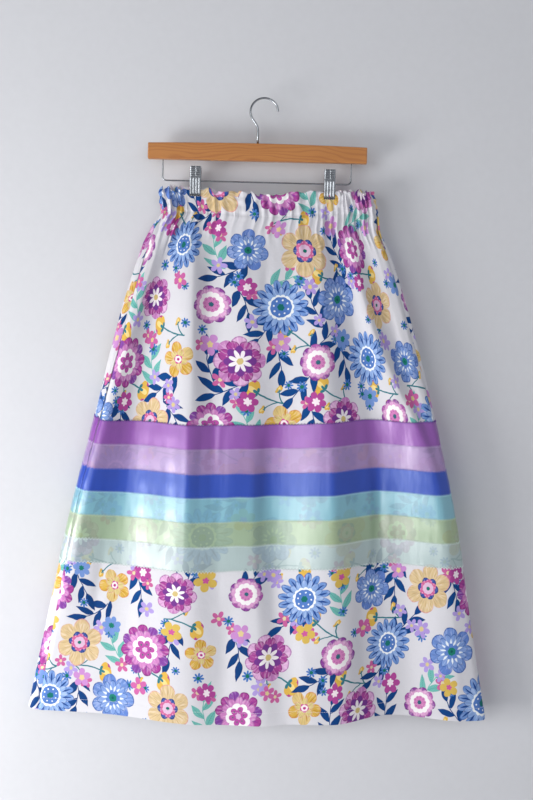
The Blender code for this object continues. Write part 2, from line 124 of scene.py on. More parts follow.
BACK_FOLDS = tuple(Fold(*row) for row in (
    # the same, with depths behind the hanger
    ("left ridge", -145, -176, -232, -292, 10, 14, 17, 17),
    ("left valley", -98, -122, -152, -184, 6, 7, 7, 9),
    ("left middle ridge", -50, -56, -68, -82, 8, 15, 18, 19),
    ("middle valley", 2, 6, 12, 22, 8, 8, 7, 9),
    ("right middle ridge", 54, 68, 92, 116, 8, 15, 18, 19),
    ("right valley", 98, 126, 168, 208, 6, 6, 7, 8),
    ("right ridge", 150, 188, 250, 312, 10, 14, 17, 17)))

# At places along X: the waist's depth, the height of the top edge, and how far the back's stands
# above the front's
WAIST_DEPTH = in_metres((
    (-147, 11), (-121, 3.15), (-94, 3.15), (-45, 7.5), (0, 8.5), (45, 7.5), (94, 3.15),
    (121, 3.15), (160, 11)))
TOP_EDGE = in_metres(((-165, -149), (-107, -147.5), (0, -152.5), (107, -145.5), (174, -145)))
BACK_PEEK = in_metres(((-160, 2), (-138, 7), (-120, 6), (-107, 2), (-60, 1), (20, 3), (60, 0), (174, 2)))
# Depth of the front's highest ridge, from which the lift of its valleys is counted
RIDGE_DEPTH = in_metres(((0, 9), (36, 11), (205, 36), (475, 46), (840, 54)))
# Distance along the section from each side edge to the seam on the front
LEFT_SEAM = in_metres(((0, 9), (36, 10), (205, 23), (475, 27), (840, 24)))
RIGHT_SEAM = in_metres(((0, 6), (205, 9), (475, 5), (840, 2)))

# Fineness of the cloth
SHARP_EDGE = math.radians(65)
TURN_STEPS = 24
LAYER_STEPS = 480
SEAM_REACH = 3 * MM               # the outward direction is read this far to either side
TOP_ROWS = (0.0, 0.5 * MM, 1.2 * MM, 2.4 * MM)
WAIST_ROWS = (4.5 * MM, 98 * MM, 2.6 * MM)         # from, to and apart
BODY_START = 100 * MM
BODY_ROWS = 100
HEM_ROWS = (14 * MM, 8 * MM, 3 * MM, 0.8 * MM, 0.0)
TOP_ROUNDING = (0.42, 0.2, 0.06)  # of the wall's thickness, at the first rows and at the last
HEM_ROUNDING = (0.1, 0.3)
HEM_DENT = 0.35 * MM
HEM_DENT_REACH = 1.5 * MM
Panel = namedtuple("Panel", "name side folds gathers columns print_place")
FRONT = Panel("front", -1, FRONT_FOLDS, 30, 9, 0.0)
BACK = Panel("back", 1, BACK_FOLDS, 24, 11, 2.35)

SEAM_GROOVE = 1.5 * MM
SEAM_RIDGE = 0.9 * MM
SEAM_RIDGE_AWAY = 7.8 * MM
SEAM_RIDGE_REACH = 3.9 * MM

# Finer gathering than the solids have
SHARPNESS = 0.24                  # how much narrower a gather's ridge is than its valley
WANDER = 0.7                      # how far a gather wanders to either side on its way down
LONG_GATHERS = (0.7, 1.75)        # a gather runs out between these parts of the usual depth
# A wave turns so much in a gather and in a metre of drop, and sways by an angle at its own rates
Wave = namedtuple("Wave", "across down sway sway_across sway_down", defaults=(0, 0, 0, 0))
WANDER_WAVE = Wave(0.9, 22)
PUCKER_WAVE = Wave(math.tau / 0.37, 0, 2.2, 1.7)
CRINKLE_WAVES = (Wave(3.3, 330, 1.9, 0.8), Wave(1.3, -210, 1.4, 2.1, 90))
HEADER_WAVE = Wave(4.1)
LEAST_PUCKER = 0.2                # the puckers' height changes between this share and the whole
PUCKER_SWELL = Wave(1.1)
OUTER_CRINKLE = 1.9               # outside the middle the bumps are this much higher
MIDDLE_FADE = 10 * MM
PUCKER_HEIGHT = 0.8 * MM
PUCKER_REACH = 9 * MM
CRINKLE_HEIGHT = 1.5 * MM         # of the small uneven bumps over the gathered casing
CRINKLE_REACH = 58 * MM
STITCH_DENT = 1.2 * MM
STITCH_REACH = 2.2 * MM
SCALLOP_HEIGHT = 2.9 * MM         # the header's edge is this uneven
SCALLOP_SHIFT = 9                 # a gather's height moves its scallop by this angle
SMALL_SCALLOP = 0.6               # the smaller scallops' share of that height
SCALLOP_RATE = 2.9                # their turn in each gather
HEADER_FLARE = 1.5 * MM

# Secondary creases: ridges stand out and troughs go in, at places along X
CREASE_WIDENING = (0.8, 1.3)      # parts of its width at its start and its end
Crease = namedtuple("Crease", "name x_top x_bottom start peak end width height")
FRONT_CREASES = tuple(Crease(*row) for row in (
    # places and drops in millimetres; the width is half of what shows
    ("drag from the left waist", -150, -214, 30, 80, 190, 5, -2.6),
    ("beside it", -140, -168, 36, 74, 150, 4, 1.8),
    ("under the left clip", -103, -122, 14, 40, 110, 3.5, 1.7),
    ("trough under the left clip", -95, -98, 14, 46, 150, 4, -2.2),
    ("long trough left of the middle", -70, -98, 40, 130, 330, 9, -2.4),
    ("bright line in the shade", -54, -68, 290, 410, 620, 6, 0.9),
    ("trough beside it", -86, -90, 300, 440, 640, 8, -1.3),
    ("ripple in the bright slope", -168, -176, 320, 480, 650, 12, 1.2),
    ("dip in the bright slope", -138, -140, 320, 480, 650, 12, -1.8),
    ("crest of the bright slope", -108, -106, 300, 430, 650, 7, 1.8),
    ("crest of the right ridge", 118, 129, 300, 470, 650, 9, 1.9),
    ("foot of the right ridge", 20, 8, 320, 470, 680, 11, -2.3),
    ("late valley on the right", 228, 240, 300, 388, 470, 14, -2.0),
    ("early valley on the right", 194, 201, 400, 530, 690, 10, -4.2),
    ("light at the right", 264, 334, 360, 540, 720, 16, 3.6),
    ("slope into the middle", -46, -34, 250, 450, 700, 24, 3.0),
    ("middle drag", -30, -18, 38, 90, 240, 7, 1.9),
    ("soft trough in the middle", 12, 4, 60, 150, 330, 9, -1.8),
    ("right of the middle", 66, 54, 30, 80, 200, 5, 1.6),
    ("pleat edge under the right clip", 97, 95, 12, 44, 150, 2.6, 2.6),
    ("pleat under the right clip", 104, 106, 14, 44, 104, 2.6, -4.2),
    ("drag from the right clip", 114, 150, 16, 70, 190, 5, 2.0),
    ("first bunch at the right", 141, 168, 12, 44, 120, 3.2, -3.0),
    ("second bunch at the right", 156, 190, 10, 40, 110, 3.2, -2.6),
    ("right flank", 196, 246, 120, 250, 420, 8, -2.0),
    ("long ridge on the right", 150, 196, 170, 420, 700, 10, 1.8),
    ("left bunch, outer trough", -156, -170, 3, 34, 100, 2.6, -3.2),
    ("left bunch, ridge", -145, -154, 3, 30, 86, 2.2, 2.4),
    ("left bunch, inner trough", -131, -138, 5, 38, 112, 2.4, -3.0),
    ("right bunch, inner ridge", 134, 150, 5, 34, 92, 2.3, 2.6),
    ("right bunch, outer ridge", 168, 193, 3, 36, 100, 2.6, 2.6),
    ("soft flank below the ribbons", 212, 226, 560, 760, 1100, 30, 8.0),
    ("soft crest below the ribbons", 124, 132, 560, 760, 1100, 26, -4.0),
    ("slant in the lower left", -230, -262, 520, 640, 800, 10, -2.2),
    ("soft ridge in the lower left", -170, -186, 560, 700, 836, 12, 1.8),
    ("soft trough below the ribbons", -30, -46, 600, 720, 836, 14, -2.0),
    ("lower middle ridge", 70, 92, 610, 740, 836, 12, 1.6),
    ("lower right trough", 168, 186, 600, 730, 836, 12, -2.0)))
BACK_CREASES = tuple(Crease(*row) for row in (
    ("drag from the left clip", -112, -146, 14, 60, 180, 5, 2.0),
    ("trough under the left clip", -100, -104, 14, 50, 150, 4, -2.2),
    ("left bunch", -142, -168, 12, 44, 120, 3.4, -2.6),
    ("left flank", -186, -226, 110, 260, 430, 8, -1.8),
    ("left of the middle", -36, -44, 40, 110, 260, 7, 1.8),
    ("middle trough", 10, 16, 60, 170, 360, 9, -1.8),
    ("under the right clip", 100, 102, 14, 50, 150, 4, -2.2),
    ("drag from the right clip", 116, 150, 14, 70, 190, 5, 2.0),
    ("right bunch", 144, 172, 12, 44, 120, 3.4, -2.8),
    ("long ridge", 120, 156, 200, 440, 700, 10, 1.8),
    ("long trough", -120, -146, 220, 480, 720, 10, -1.8),
    ("lower left ridge", -210, -238, 540, 690, 836, 12, 1.8),
    ("lower middle trough", 40, 56, 560, 700, 836, 13, -1.8),
    ("lower right ridge", 230, 262, 560, 700, 836, 12, 1.6)))

# The front hangs lower at its left, round the ribbons, by this much at places along X
FRONT_DIP = in_metres((
    (-300, 0), (-264, 2.4), (-226, 6.4), (-188, 8.5), (-92, 8), (-53, 6.9), (-24, 4), (52, 4.2),
    (100, 1.6), (206, 1), (250, 0), (380, 0)))
# The dip begins, is full, fades and is over at these drops
DIP_DROPS = (180 * MM, 350 * MM, 600 * MM, 780 * MM)

# Ribbons
RIBBON_TOP = 368 * MM
RIBBON_PITCH = 38 * MM
RIBBON_LIFT = 0.35 * MM
RIBBON_WALL = 0.45 * MM
RIBBON_GAP = 0.1 * MM
RIBBON_ROWS = 11
RIBBON_CROWN = 0.5 * MM           # it stands off the cloth this much between its sewn edges
RIBBON_PUCKER = 0.15 * MM
RIBBON_PUCKER_PITCH = 16 * MM
PUCKER_DEPTH = 6                  # power that keeps the puckers close to the sewn edges
PUCKER_SWAY = 2.2
PUCKER_SWAY_RATE = 23             # of the sway, in each metre across
BORDER_TURN = 1.7                 # each border's puckers start this much further on
BACK_RIBBON_RISE = -1.5 * MM      # of the back's ribbons above the front's at the side seams
Ribbon = namedtuple("Ribbon", "name colour gloss thread ghost ior")
RIBBONS = tuple(Ribbon(*row) for row in (
    # satin's colour, its gloss's, its thread's, how much of the print shows through it, and how
    # strongly it mirrors
    ("orchid", "#81459B", "#F2DCFA", "#7444A0", 0.06, 1.57),
    ("lilac", "#997CAF", "#FAF2FC", "#C6AEDA", 0.26, 1.62),
    ("royal", "#0C39A2", "#D0DEFA", "#9A8ACC", 0.0, 1.55),
    ("aqua", "#6FAFC0", "#FAFFFF", "#B4E2EE", 0.36, 1.72),
    ("celery", "#95AF8C", "#FCFFF8", "#C8DCBC", 0.38, 1.74),
    ("mint", "#AABFBD", "#FFFFFF", "#DCECE9", 0.44, 1.66)))
LAST_THREAD = "#E2EEEC"
SATIN_GLOSS = 1.0
SATIN_ROUGHNESS = 0.29

# Sewing
THREAD = 0.4 * MM
ZIGZAG_THREAD = 0.85 * MM
ZIGZAG_WIDTH = 4.2 * MM
ZIGZAG_PITCH = 5.2 * MM
ZIGZAG_POINTS = 8
STITCH_LENGTH = 2.7 * MM
STITCH_GAP = 0.8 * MM
STITCH_SHAPE = (0.0, 0.12, 0.88, 1.0)              # its points; the first and last are in the cloth
THREAD_LIFT = 0.12 * MM

# Hanger
HOOK_WIRE = 3.4 * MM
HOOK_RADIUS = 22 * MM
HOOK_TIP_ANGLE = 3
HOOK_BACK_ANGLE = 215
STEM_X = -9.4 * MM
STEM_BEND_Z = -45.2 * MM
STEM_BEND_REACH = 5 * MM
RAIL_WIRE = 2.5 * MM
RAIL_LEFT = -160 * MM
RAIL_RIGHT = 141 * MM
RAIL_Z = -133.6 * MM
RAIL_BEND = 6 * MM
WIRE_GAP = 0.3 * MM

CLIPS = (("left", -107.4 * MM), ("right", 107.2 * MM))
JAW_WIDTH = 18 * MM
JAW_SHEET = 0.8 * MM
Jaw = namedtuple("Jaw", "z face flange")
JAW = in_metres((
    # height, depth of the outer face, depth that the side flanges reach in to
    (-111, 9.0, 7.0),
    (-119, 8.2, 6.4),
    (-126, 7.9, 1.55),
    (-137.5, 6.9, 1.55),
    (-141, 6.6, 4.7),
    (-146.5, 5.4, 4.2),
    (-151, 4.6, 3.6),
    (-155.5, 4.45, 3.45),
    (-159, 6.4, 5.4)), Jaw)
GRIP_RIDGES = 5
GRIP_BOTTOM = -127 * MM
RIDGE_HEIGHT = 0.5 * MM
FLUTES = 4
FLUTE_TOP = -129 * MM
FLUTE_DEPTH = 0.75 * MM
LIP_TOP = -155.5 * MM
LIP_TEETH = 6
TOOTH_DEPTH = 1.5 * MM
SPRING_WIRE = 1.2 * MM
SPRING_TURNS = 4
SPRING_POINTS = 24
SPRING_HALF_WIDTH = 6.2 * MM
SPRING_ARM_Z = -120 * MM
WIRE_END = 0.72                   # a wire's ends are rounded to this part of its thickness
HOOK_STEPS = 72
BEND_STEPS = 12
JAW_CORNER = 1.1 * MM
# Parts of the jaw's half width: the smooth line down its middle, its ridges' end and the width in
# which they run out, and the same width for the flutes
GRIP_MIDDLE = 0.12
GRIP_SIDE = 0.9
GRIP_FADE = 0.15
FLUTE_FADE = 0.1
FLUTE_SQUEEZE = 0.98
JAW_ROWS = (31, 22, 7)            # along the grip, the flutes and the lip
JAW_COLUMNS = 49

# Camera and room
CAMERA_PLACE = (0.0147, -2.2, -0.481)
CAMERA_ROLL = -1.4                # degrees
CAMERA_LENS = 61.9
WALL_Y = 30 * MM
FLOOR_Z = -1.35
Light = namedtuple("Light", "name place target size power tint mirrored")
LIGHTS = (
    Light("side window", (-1.57, -0.84, -1.1), (0.05, 0.0, -0.72), 1.0, 39.5, (1.0, 0.99, 0.975), True),
    Light("front window", (-2.75, -4.1, -0.2), (0.0, 0.0, -0.5), 3.2, 73.0, (0.98, 0.99, 1.0), True),
    Light("far room", (0.9, -4.2, -0.2), (0.0, 0.0, -0.6), 3.0, 28.0, (0.98, 0.99, 1.0), False),
    Light("room behind", (0.7, 3.4, 0.2), (0.0, 0.0, -0.5), 3.0, 45.0, (1.0, 1.0, 1.0), False))
ROOM_LEFT = "#3E4043"
ROOM_RIGHT = "#E6E8EE"
ROOM_TURN = (-0.7, 0.9)
ROOM_STRENGTH = 0.675


def colour(text):
    """Linear colour of a #RRGGBB text."""
    parts = [int(text[place:place + 2], 16) / 255 for place in (1, 3, 5)]
    return tuple(part / 12.92 if part <= 0.04045 else ((part + 0.055) / 1.055) ** 2.4
                 for part in parts) + (1.0,)


def ease(value):
    """A smooth step from 0 to 1."""
    value = np.clip(value, 0.0, 1.0)
    return value * value * (3 - 2 * value)


def mix(start, end, share):
    return start + (end - start) * share


def read(knots, places):
    """Read a smooth curve through knots of (place, value) that never swings past a knot."""
    at = np.array([knot[0] for knot in knots], dtype=float)
    values = np.array([knot[1] for knot in knots], dtype=float)
    places = np.clip(places, at[0], at[-1])
    widths = np.diff(at)
    rises = np.diff(values) / widths
    slopes = np.concatenate(([rises[0]], np.zeros(len(at) - 2), [rises[-1]]))
    turning = rises[:-1] * rises[1:] <= 0
    total = np.where(turning, 1.0, rises[:-1] + rises[1:])
    slopes[1:-1] = np.where(turning, 0.0, 2 * rises[:-1] * rises[1:] / total)
    cell = np.clip(np.searchsorted(at, places, side="right") - 1, 0, len(at) - 2)
    t = (places - at[cell]) / widths[cell]
    return (values[cell] * (1 + 2 * t) * (1 - t) ** 2 + slopes[cell] * widths[cell] * t * (1 - t) ** 2
            + values[cell + 1] * t * t * (3 - 2 * t)
            + slopes[cell + 1] * widths[cell] * t * t * (t - 1))


# The cloth's form

def layer_curve(folds, drop, side):
    """One layer of the section at a drop, from the left edge to the right edge."""
    left, right, left_forward, right_forward = (
        read([(row.drop, getattr(row, field)) for row in OUTLINE], drop)
        for field in ("left", "right", "left_forward", "right_forward"))
    lines = [[read(tuple(zip(FOLD_DROPS, values)), drop) * MM for values in (fold[1:5], fold[5:])]
             for fold in folds]
    fold_share = ease((drop - GRIPPED_DEPTH) / (FOLD_START - GRIPPED_DEPTH))

    def depth(x):
        return mix(read(WAIST_DEPTH, x), read(lines, x), fold_share)

    def turn(edge, edge_forward, crest):
        """The quarter turn from a side edge to the nearest ridge."""
        angles = np.arange(TURN_STEPS) * (math.pi / 2 / TURN_STEPS)
        return (crest + (edge - crest) * np.cos(angles),
                mix(-edge_forward, side * depth(crest), np.sin(angles)))

    first, last = lines[0][0], lines[-1][0]
    middle = np.linspace(first, last, LAYER_STEPS + 1)
    left_x, left_y = turn(left, left_forward, first)
    right_x, right_y = turn(right, right_forward, last)
    return (np.concatenate((left_x, middle, right_x[::-1])),
            np.concatenate((left_y, side * depth(middle), right_y[::-1])))


Section = namedtuple("Section", "x y distances left_seam right_seam")


def section(drop):
    """The closed section at one drop, from the left edge over the front and back behind."""
    front_x, front_y = layer_curve(FRONT_FOLDS, drop, -1)
    back_x, back_y = layer_curve(BACK_FOLDS, drop, 1)
    x = np.concatenate((front_x, back_x[-2:0:-1], front_x[:1]))
    y = np.concatenate((front_y, back_y[-2:0:-1], front_y[:1]))
    distances = np.concatenate(([0.0], np.cumsum(np.hypot(np.diff(x), np.diff(y)))))
    right_seam = distances[len(front_x) - 1] - read(RIGHT_SEAM, drop)
    return Section(x, y, distances, read(LEFT_SEAM, drop), right_seam)


def point_on(cut, distances):
    distances = np.mod(distances, cut.distances[-1])
    return np.interp(distances, cut.distances, cut.x), np.interp(distances, cut.distances, cut.y)


def outward_on(cut, distances):
    """Level direction that points out of the skirt."""
    before_x, before_y = point_on(cut, distances - SEAM_REACH)
    after_x, after_y = point_on(cut, distances + SEAM_REACH)
    along_x, along_y = after_x - before_x, after_y - before_y
    length = np.hypot(along_x, along_y)
    return along_y / length, -along_x / length


def wave_at(wave, turns, drop=0.0):
    sway = wave.sway * np.sin(turns * wave.sway_across + drop * wave.sway_down)
    return np.sin(turns * wave.across + drop * wave.down + sway)


Gathers = namedtuple("Gathers", "places numbers phases heights reaches")


def gathers_of(panel):
    """A panel's columns: their places across the cut, and the gather that each belongs to."""
    spread = random.Random(GATHER_SEED + panel.side)
    shifts = [0.0]
    shifts += [spread.uniform(-GATHER_SPREAD, GATHER_SPREAD) for _ in range(panel.gathers - 1)]
    shifts.append(0.0)
    heights = [spread.uniform(*LOOSE_HEIGHTS) for _ in range(panel.gathers)]
    reaches = [spread.uniform(*LONG_GATHERS) for _ in range(panel.gathers)]
    steps = np.arange(panel.gathers * panel.columns + 1) / panel.columns
    numbers = np.minimum(steps.astype(int), panel.gathers - 1)
    shares = steps - numbers
    shifts = np.array(shifts)
    shift = mix(shifts[numbers], shifts[numbers + 1], shares)
    places = (steps + shift) / panel.gathers
    return Gathers(places, steps, shares * math.tau, np.array(heights)[numbers],
                   np.array(reaches)[numbers])


def crease_relief(creases, x, drop):
    """How far the secondary creases stand out at places along X."""
    relief = np.zeros_like(x)
    for crease in creases:
        start, peak, end = crease.start * MM, crease.peak * MM, crease.end * MM
        if not start < drop < end:
            continue
        strength = ease((drop - start) / (peak - start)) * ease((end - drop) / (end - peak))
        share = (drop - start) / (end - start)
        centre = mix(crease.x_top, crease.x_bottom, share) * MM
        width = crease.width * MM * mix(*CREASE_WIDENING, share)
        relief += crease.height * MM * strength * np.exp(-((x - centre) / width) ** 2)
    return relief


def gather_relief(panel, gathers, drop, length, x, depth):
    """How far the gathers and the puckers on their stitches stand out."""
    step = 0.01
    here = gathers.places if panel.side < 0 else 1 - gathers.places
    crowding = (read(WAIST_SHARE, here + step) - read(WAIST_SHARE, here - step)) / (2 * step)
    crowding = np.where((here < step) | (here > 1 - step), crowding * 2, crowding)
    flat = mix(FLAT_WAIST, FLAT_HEM, drop / SKIRT_LENGTH)
    pitch = length / panel.gathers * mix(crowding, 1.0, drop / SKIRT_LENGTH)
    fullness = np.maximum(1.0, flat / panel.gathers / pitch)
    swing = pitch / 4 * np.sqrt(fullness ** 2 - 1)
    reach = CASING_DEPTH + (GATHER_FADE - CASING_DEPTH) * gathers.reaches
    swing *= 1 - ease((drop - CASING_DEPTH) / (reach - CASING_DEPTH))
    room = np.maximum(0.0, depth - CASING_WALL - GATHER_CLEARANCE)
    swing = np.minimum(np.minimum(swing, room), GATHER_MOST)
    turns = gathers.numbers
    phases = gathers.phases + WANDER * wave_at(WANDER_WAVE, turns, drop)
    wave = np.sin(phases) - SHARPNESS * np.cos(2 * phases) + SHARPNESS
    pucker = wave_at(PUCKER_WAVE, turns) * mix(LEAST_PUCKER, 1.0, wave_at(PUCKER_SWELL, turns) ** 2)
    pucker *= math.exp(-((drop - CASING_DEPTH) / PUCKER_REACH) ** 2)
    dent = math.exp(-((drop - CASING_DEPTH) / STITCH_REACH) ** 2)
    outer = ease((np.abs(x) - MIDDLE_WIDTH + MIDDLE_FADE) / (2 * MIDDLE_FADE))
    heights = gathers.heights * mix(MIDDLE_HEIGHT, 1.0, outer)
    crinkle = wave_at(CRINKLE_WAVES[0], turns, drop) * wave_at(CRINKLE_WAVES[1], turns, drop)
    crinkle = crinkle * ease((CRINKLE_REACH - drop) / CRINKLE_REACH) * mix(1.0, OUTER_CRINKLE, outer)
    relief = swing * heights * wave + PUCKER_HEIGHT * pucker - STITCH_DENT * dent
    return relief + CRINKLE_HEIGHT * crinkle * clip_clearance(x)


Cloth = namedtuple("Cloth", "points outward flat")


def seam_relief(from_start, from_end):
    """The seams pull the cloth into a groove with a soft ridge beside it."""
    relief = 0.0
    for away in (from_start, from_end):
        relief = relief - SEAM_GROOVE * np.exp(-(away / SEAM_REACH) ** 2)
        relief = relief + SEAM_RIDGE * np.exp(-((away - SEAM_RIDGE_AWAY) / SEAM_RIDGE_REACH) ** 2)
    return relief


def cloth_rows(panel, drops):
    """Outer points of a panel at some drops, the way out at each, and its place on the cut."""
    gathers = gathers_of(panel)
    top = section(0.0)
    top_start, top_end = seam_span(panel, top)
    at_waist = read(WAIST_SHARE, gathers.places)
    if panel.side > 0:
        at_waist = 1 - read(WAIST_SHARE, 1 - gathers.places)
    top_x = point_on(top, mix(top_start, top_end, at_waist))[0]
    scallops = SCALLOP_HEIGHT * (np.sin(gathers.phases / 2 + gathers.heights * SCALLOP_SHIFT)
                                 + SMALL_SCALLOP * np.sin(gathers.numbers * SCALLOP_RATE + panel.side))
    creases = FRONT_CREASES if panel.side < 0 else BACK_CREASES
    points, outward, flat = [], [], []
    for drop in drops:
        cut = section(drop)
        start, end = seam_span(panel, cut)
        distances = mix(start, end, mix(at_waist, gathers.places, drop / SKIRT_LENGTH))
        x, y = point_on(cut, distances)
        out_x, out_y = outward_on(cut, distances)
        relief = gather_relief(panel, gathers, drop, end - start, x, np.abs(y))
        relief += crease_relief(creases, x, drop)
        relief += seam_relief(distances - start, end - distances) * ease(drop / FOLD_START)
        z = read(TOP_EDGE, top_x) - drop
        z += VALLEY_LIFT * (read(RIDGE_DEPTH, drop) + y) * ease(drop / FOLD_START)
        header = 1 - ease(drop / GRIPPED_DEPTH)
        clear_of_clips = clip_clearance(top_x)
        z += scallops * header * clear_of_clips
        relief += HEADER_FLARE * header * clear_of_clips * wave_at(HEADER_WAVE, gathers.numbers)
        if panel.side > 0:
            z += read(BACK_PEEK, top_x) * header
        else:
            begin, full, fade, over = DIP_DROPS
            dip = ease((drop - begin) / (full - begin)) * ease((over - drop) / (over - fade))
            z -= read(FRONT_DIP, x) * dip
        points.append(np.stack((x + out_x * relief, y + out_y * relief, z), axis=1))
        outward.append(np.stack((out_x, out_y, np.zeros_like(x)), axis=1))
        width = mix(FLAT_WAIST, FLAT_HEM, drop / SKIRT_LENGTH)
        across = panel.print_place + (gathers.places - 0.5) * width
        flat.append(np.stack((across, np.full_like(x, drop)), axis=1))
    return Cloth(np.array(points), np.array(outward), np.array(flat))


def seam_span(panel, cut):
    """Where a panel starts and ends along the section."""
    if panel.side < 0:
        return cut.left_seam + SEAM_GAP / 2, cut.right_seam - SEAM_GAP / 2
    return cut.right_seam + SEAM_GAP / 2, cut.distances[-1] + cut.left_seam - SEAM_GAP / 2


def clip_clearance(x):
    """0 where a clip holds the cloth and 1 away from it."""
    clear = np.ones_like(x)
    for _, centre in CLIPS:
        clear *= ease((np.abs(x - centre) - JAW_WIDTH / 2) / (JAW_WIDTH / 2))
    return clear


# Meshes

def link(name, data):
    piece = bpy.data.objects.new(name, data)
    bpy.context.scene.collection.objects.link(piece)
    return piece


def new_mesh(name, points, faces, materials):
    mesh = bpy.data.meshes.new(name)
    mesh.from_pydata([tuple(point) for point in points], [], [tuple(face) for face in faces])
    mesh.shade_smooth()
    for material in materials:
        mesh.materials.append(material)
    return mesh


def finish_piece(piece, replaced=()):
    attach(piece, BODY)
    if replaced:
        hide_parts(*replaced)
    return piece


def grid_faces(rows, columns, first=0, flip=False):
    numbers = np.arange(rows * columns).reshape(rows, columns) + first
    quads = np.stack((numbers[:-1, :-1], numbers[1:, :-1], numbers[1:, 1:], numbers[:-1, 1:]),
                     axis=2).reshape(-1, 4)
    return quads[:, ::-1] if flip else quads


def rim_faces(outer, inner):
    """Faces that close the edge between two loops of point numbers."""
    return np.stack((outer, np.roll(outer, -1), np.roll(inner, -1), inner), axis=1)


def wall_mesh(name, cloth, lift, thickness, materials):
    """A closed wall: its outer face stands lift off the cloth's points."""
    rows, columns = cloth.points.shape[:2]
    outer = cloth.points + cloth.outward * lift
    inner = outer - cloth.outward * thickness
    points = np.concatenate((outer.reshape(-1, 3), inner.reshape(-1, 3)))
    count = rows * columns
    numbers = np.arange(count).reshape(rows, columns)
    edge = np.concatenate((numbers[0, :-1], numbers[:-1, -1], numbers[-1, :0:-1], numbers[:0:-1, 0]))
    faces = np.concatenate((grid_faces(rows, columns), grid_faces(rows, columns, count, True),
                            rim_faces(edge, edge + count)))
    mesh = new_mesh(name, points.tolist(), faces.tolist(), materials)
    mesh.set_sharp_from_angle(angle=SHARP_EDGE)
    flat = np.concatenate((cloth.flat.reshape(-1, 2), cloth.flat.reshape(-1, 2)))
    corners = np.empty(len(mesh.loops), dtype=np.int32)
    mesh.loops.foreach_get("vertex_index", corners)
    layer = mesh.uv_layers.new(name="Cut")
    layer.data.foreach_set("uv", flat[corners].ravel())
    if len(materials) > 1:
        slots = np.zeros(len(faces), dtype=np.int32)
        quads = (rows - 1) * (columns - 1)
        slots[quads:2 * quads] = 1
        mesh.polygons.foreach_set("material_index", slots)
    mesh.update()
    return link(name, mesh)


def panel_drops():
    """Drops of the rows: close at the top, wider below, with the hem's turn-up marked."""
    body = np.linspace(BODY_START, SKIRT_LENGTH - HEM_DEPTH - 1 * MM, BODY_ROWS)
    hem = SKIRT_LENGTH - np.array((HEM_DEPTH,) + HEM_ROWS)
    return np.concatenate((TOP_ROWS, np.arange(*WAIST_ROWS), body, hem))


def build_panel(panel, materials):
    drops = panel_drops()
    cloth = cloth_rows(panel, drops)
    thickness = np.where(drops < CASING_DEPTH, CASING_WALL, CLOTH_WALL)
    thickness = np.where(drops >= SKIRT_LENGTH - HEM_DEPTH, HEM_WALL, thickness)
    rounding = np.zeros_like(drops)
    rounding[:len(TOP_ROUNDING)] = TOP_ROUNDING
    rounding[-len(HEM_ROUNDING):] = HEM_ROUNDING
    stitched = SKIRT_LENGTH - HEM_DEPTH
    dent = HEM_DENT * np.exp(-((drops - stitched) / HEM_DENT_REACH) ** 2)
    lift = (-rounding * thickness - dent)[:, None, None]
    wall = (thickness * (1 - 2 * rounding))[:, None, None]
    piece = wall_mesh(panel.name + "_panel", cloth, lift, wall, materials)
    return finish_piece(piece, ("skirt_" + panel.name,))


def ribbon_start(number, panel):
    rise = BACK_RIBBON_RISE if panel.side > 0 else 0.0
    return RIBBON_TOP - rise + number * RIBBON_PITCH


def edge_pucker(across, border):
    """How far the sewn border between two ribbons stands out along its length."""
    sway = PUCKER_SWAY * np.sin(across * PUCKER_SWAY_RATE + border)
    turn = across * math.tau / RIBBON_PUCKER_PITCH + border * BORDER_TURN
    return RIBBON_PUCKER * np.sin(turn + sway)


def build_ribbon(panel, number, ribbon, material):
    start = ribbon_start(number, panel) + RIBBON_GAP / 2
    end = ribbon_start(number + 1, panel) - RIBBON_GAP / 2
    shares = (1 - np.cos(np.linspace(0, math.pi, RIBBON_ROWS))) / 2
    cloth = cloth_rows(panel, mix(start, end, shares))
    across = cloth.flat[0, :, 0]
    crown = RIBBON_CROWN * np.sin(shares * math.pi) ** 2
    above = ((1 - shares) ** PUCKER_DEPTH)[:, None] * edge_pucker(across, number)
    below = (shares ** PUCKER_DEPTH)[:, None] * edge_pucker(across, number + 1)
    lift = RIBBON_LIFT + RIBBON_WALL + crown[:, None] + above + below
    name = "ribbon_" + panel.name + "_" + ribbon.name
    piece = wall_mesh(panel.name + "_" + ribbon.name + "_ribbon", cloth, lift[:, :, None],
                      RIBBON_WALL, [material])
    return finish_piece(piece, (name,))


def tube_mesh(name, runs, thickness, material, sides=4):
    """Thin closed tubes along runs of points, joined into one mesh."""
    points, faces = [], []
    ring = [(math.cos(angle), math.sin(angle))
            for angle in (math.tau * (step + 0.5) / sides for step in range(sides))]
    for run, ups in runs:
        forward = np.gradient(run, axis=0)
        forward /= np.linalg.norm(forward, axis=1)[:, None]
        across = np.cross(forward, ups)
        across /= np.linalg.norm(across, axis=1)[:, None]
        above = np.cross(across, forward)
        first = len(points)
        for place, side, up in zip(run, across, above):
            for turn_x, turn_y in ring:
                points.append(place + (side * turn_x + up * turn_y) * thickness / 2)
        for step in range(len(run) - 1):
            low, high = first + step * sides, first + (step + 1) * sides
            for corner in range(sides):
                after = (corner + 1) % sides
                faces.append((low + corner, high + corner, high + after, low + after))
        faces.append(tuple(range(first, first + sides)))
        last = first + (len(run) - 1) * sides
        faces.append(tuple(range(last + sides - 1, last - 1, -1)))
    return link(name, new_mesh(name, points, faces, [material]))


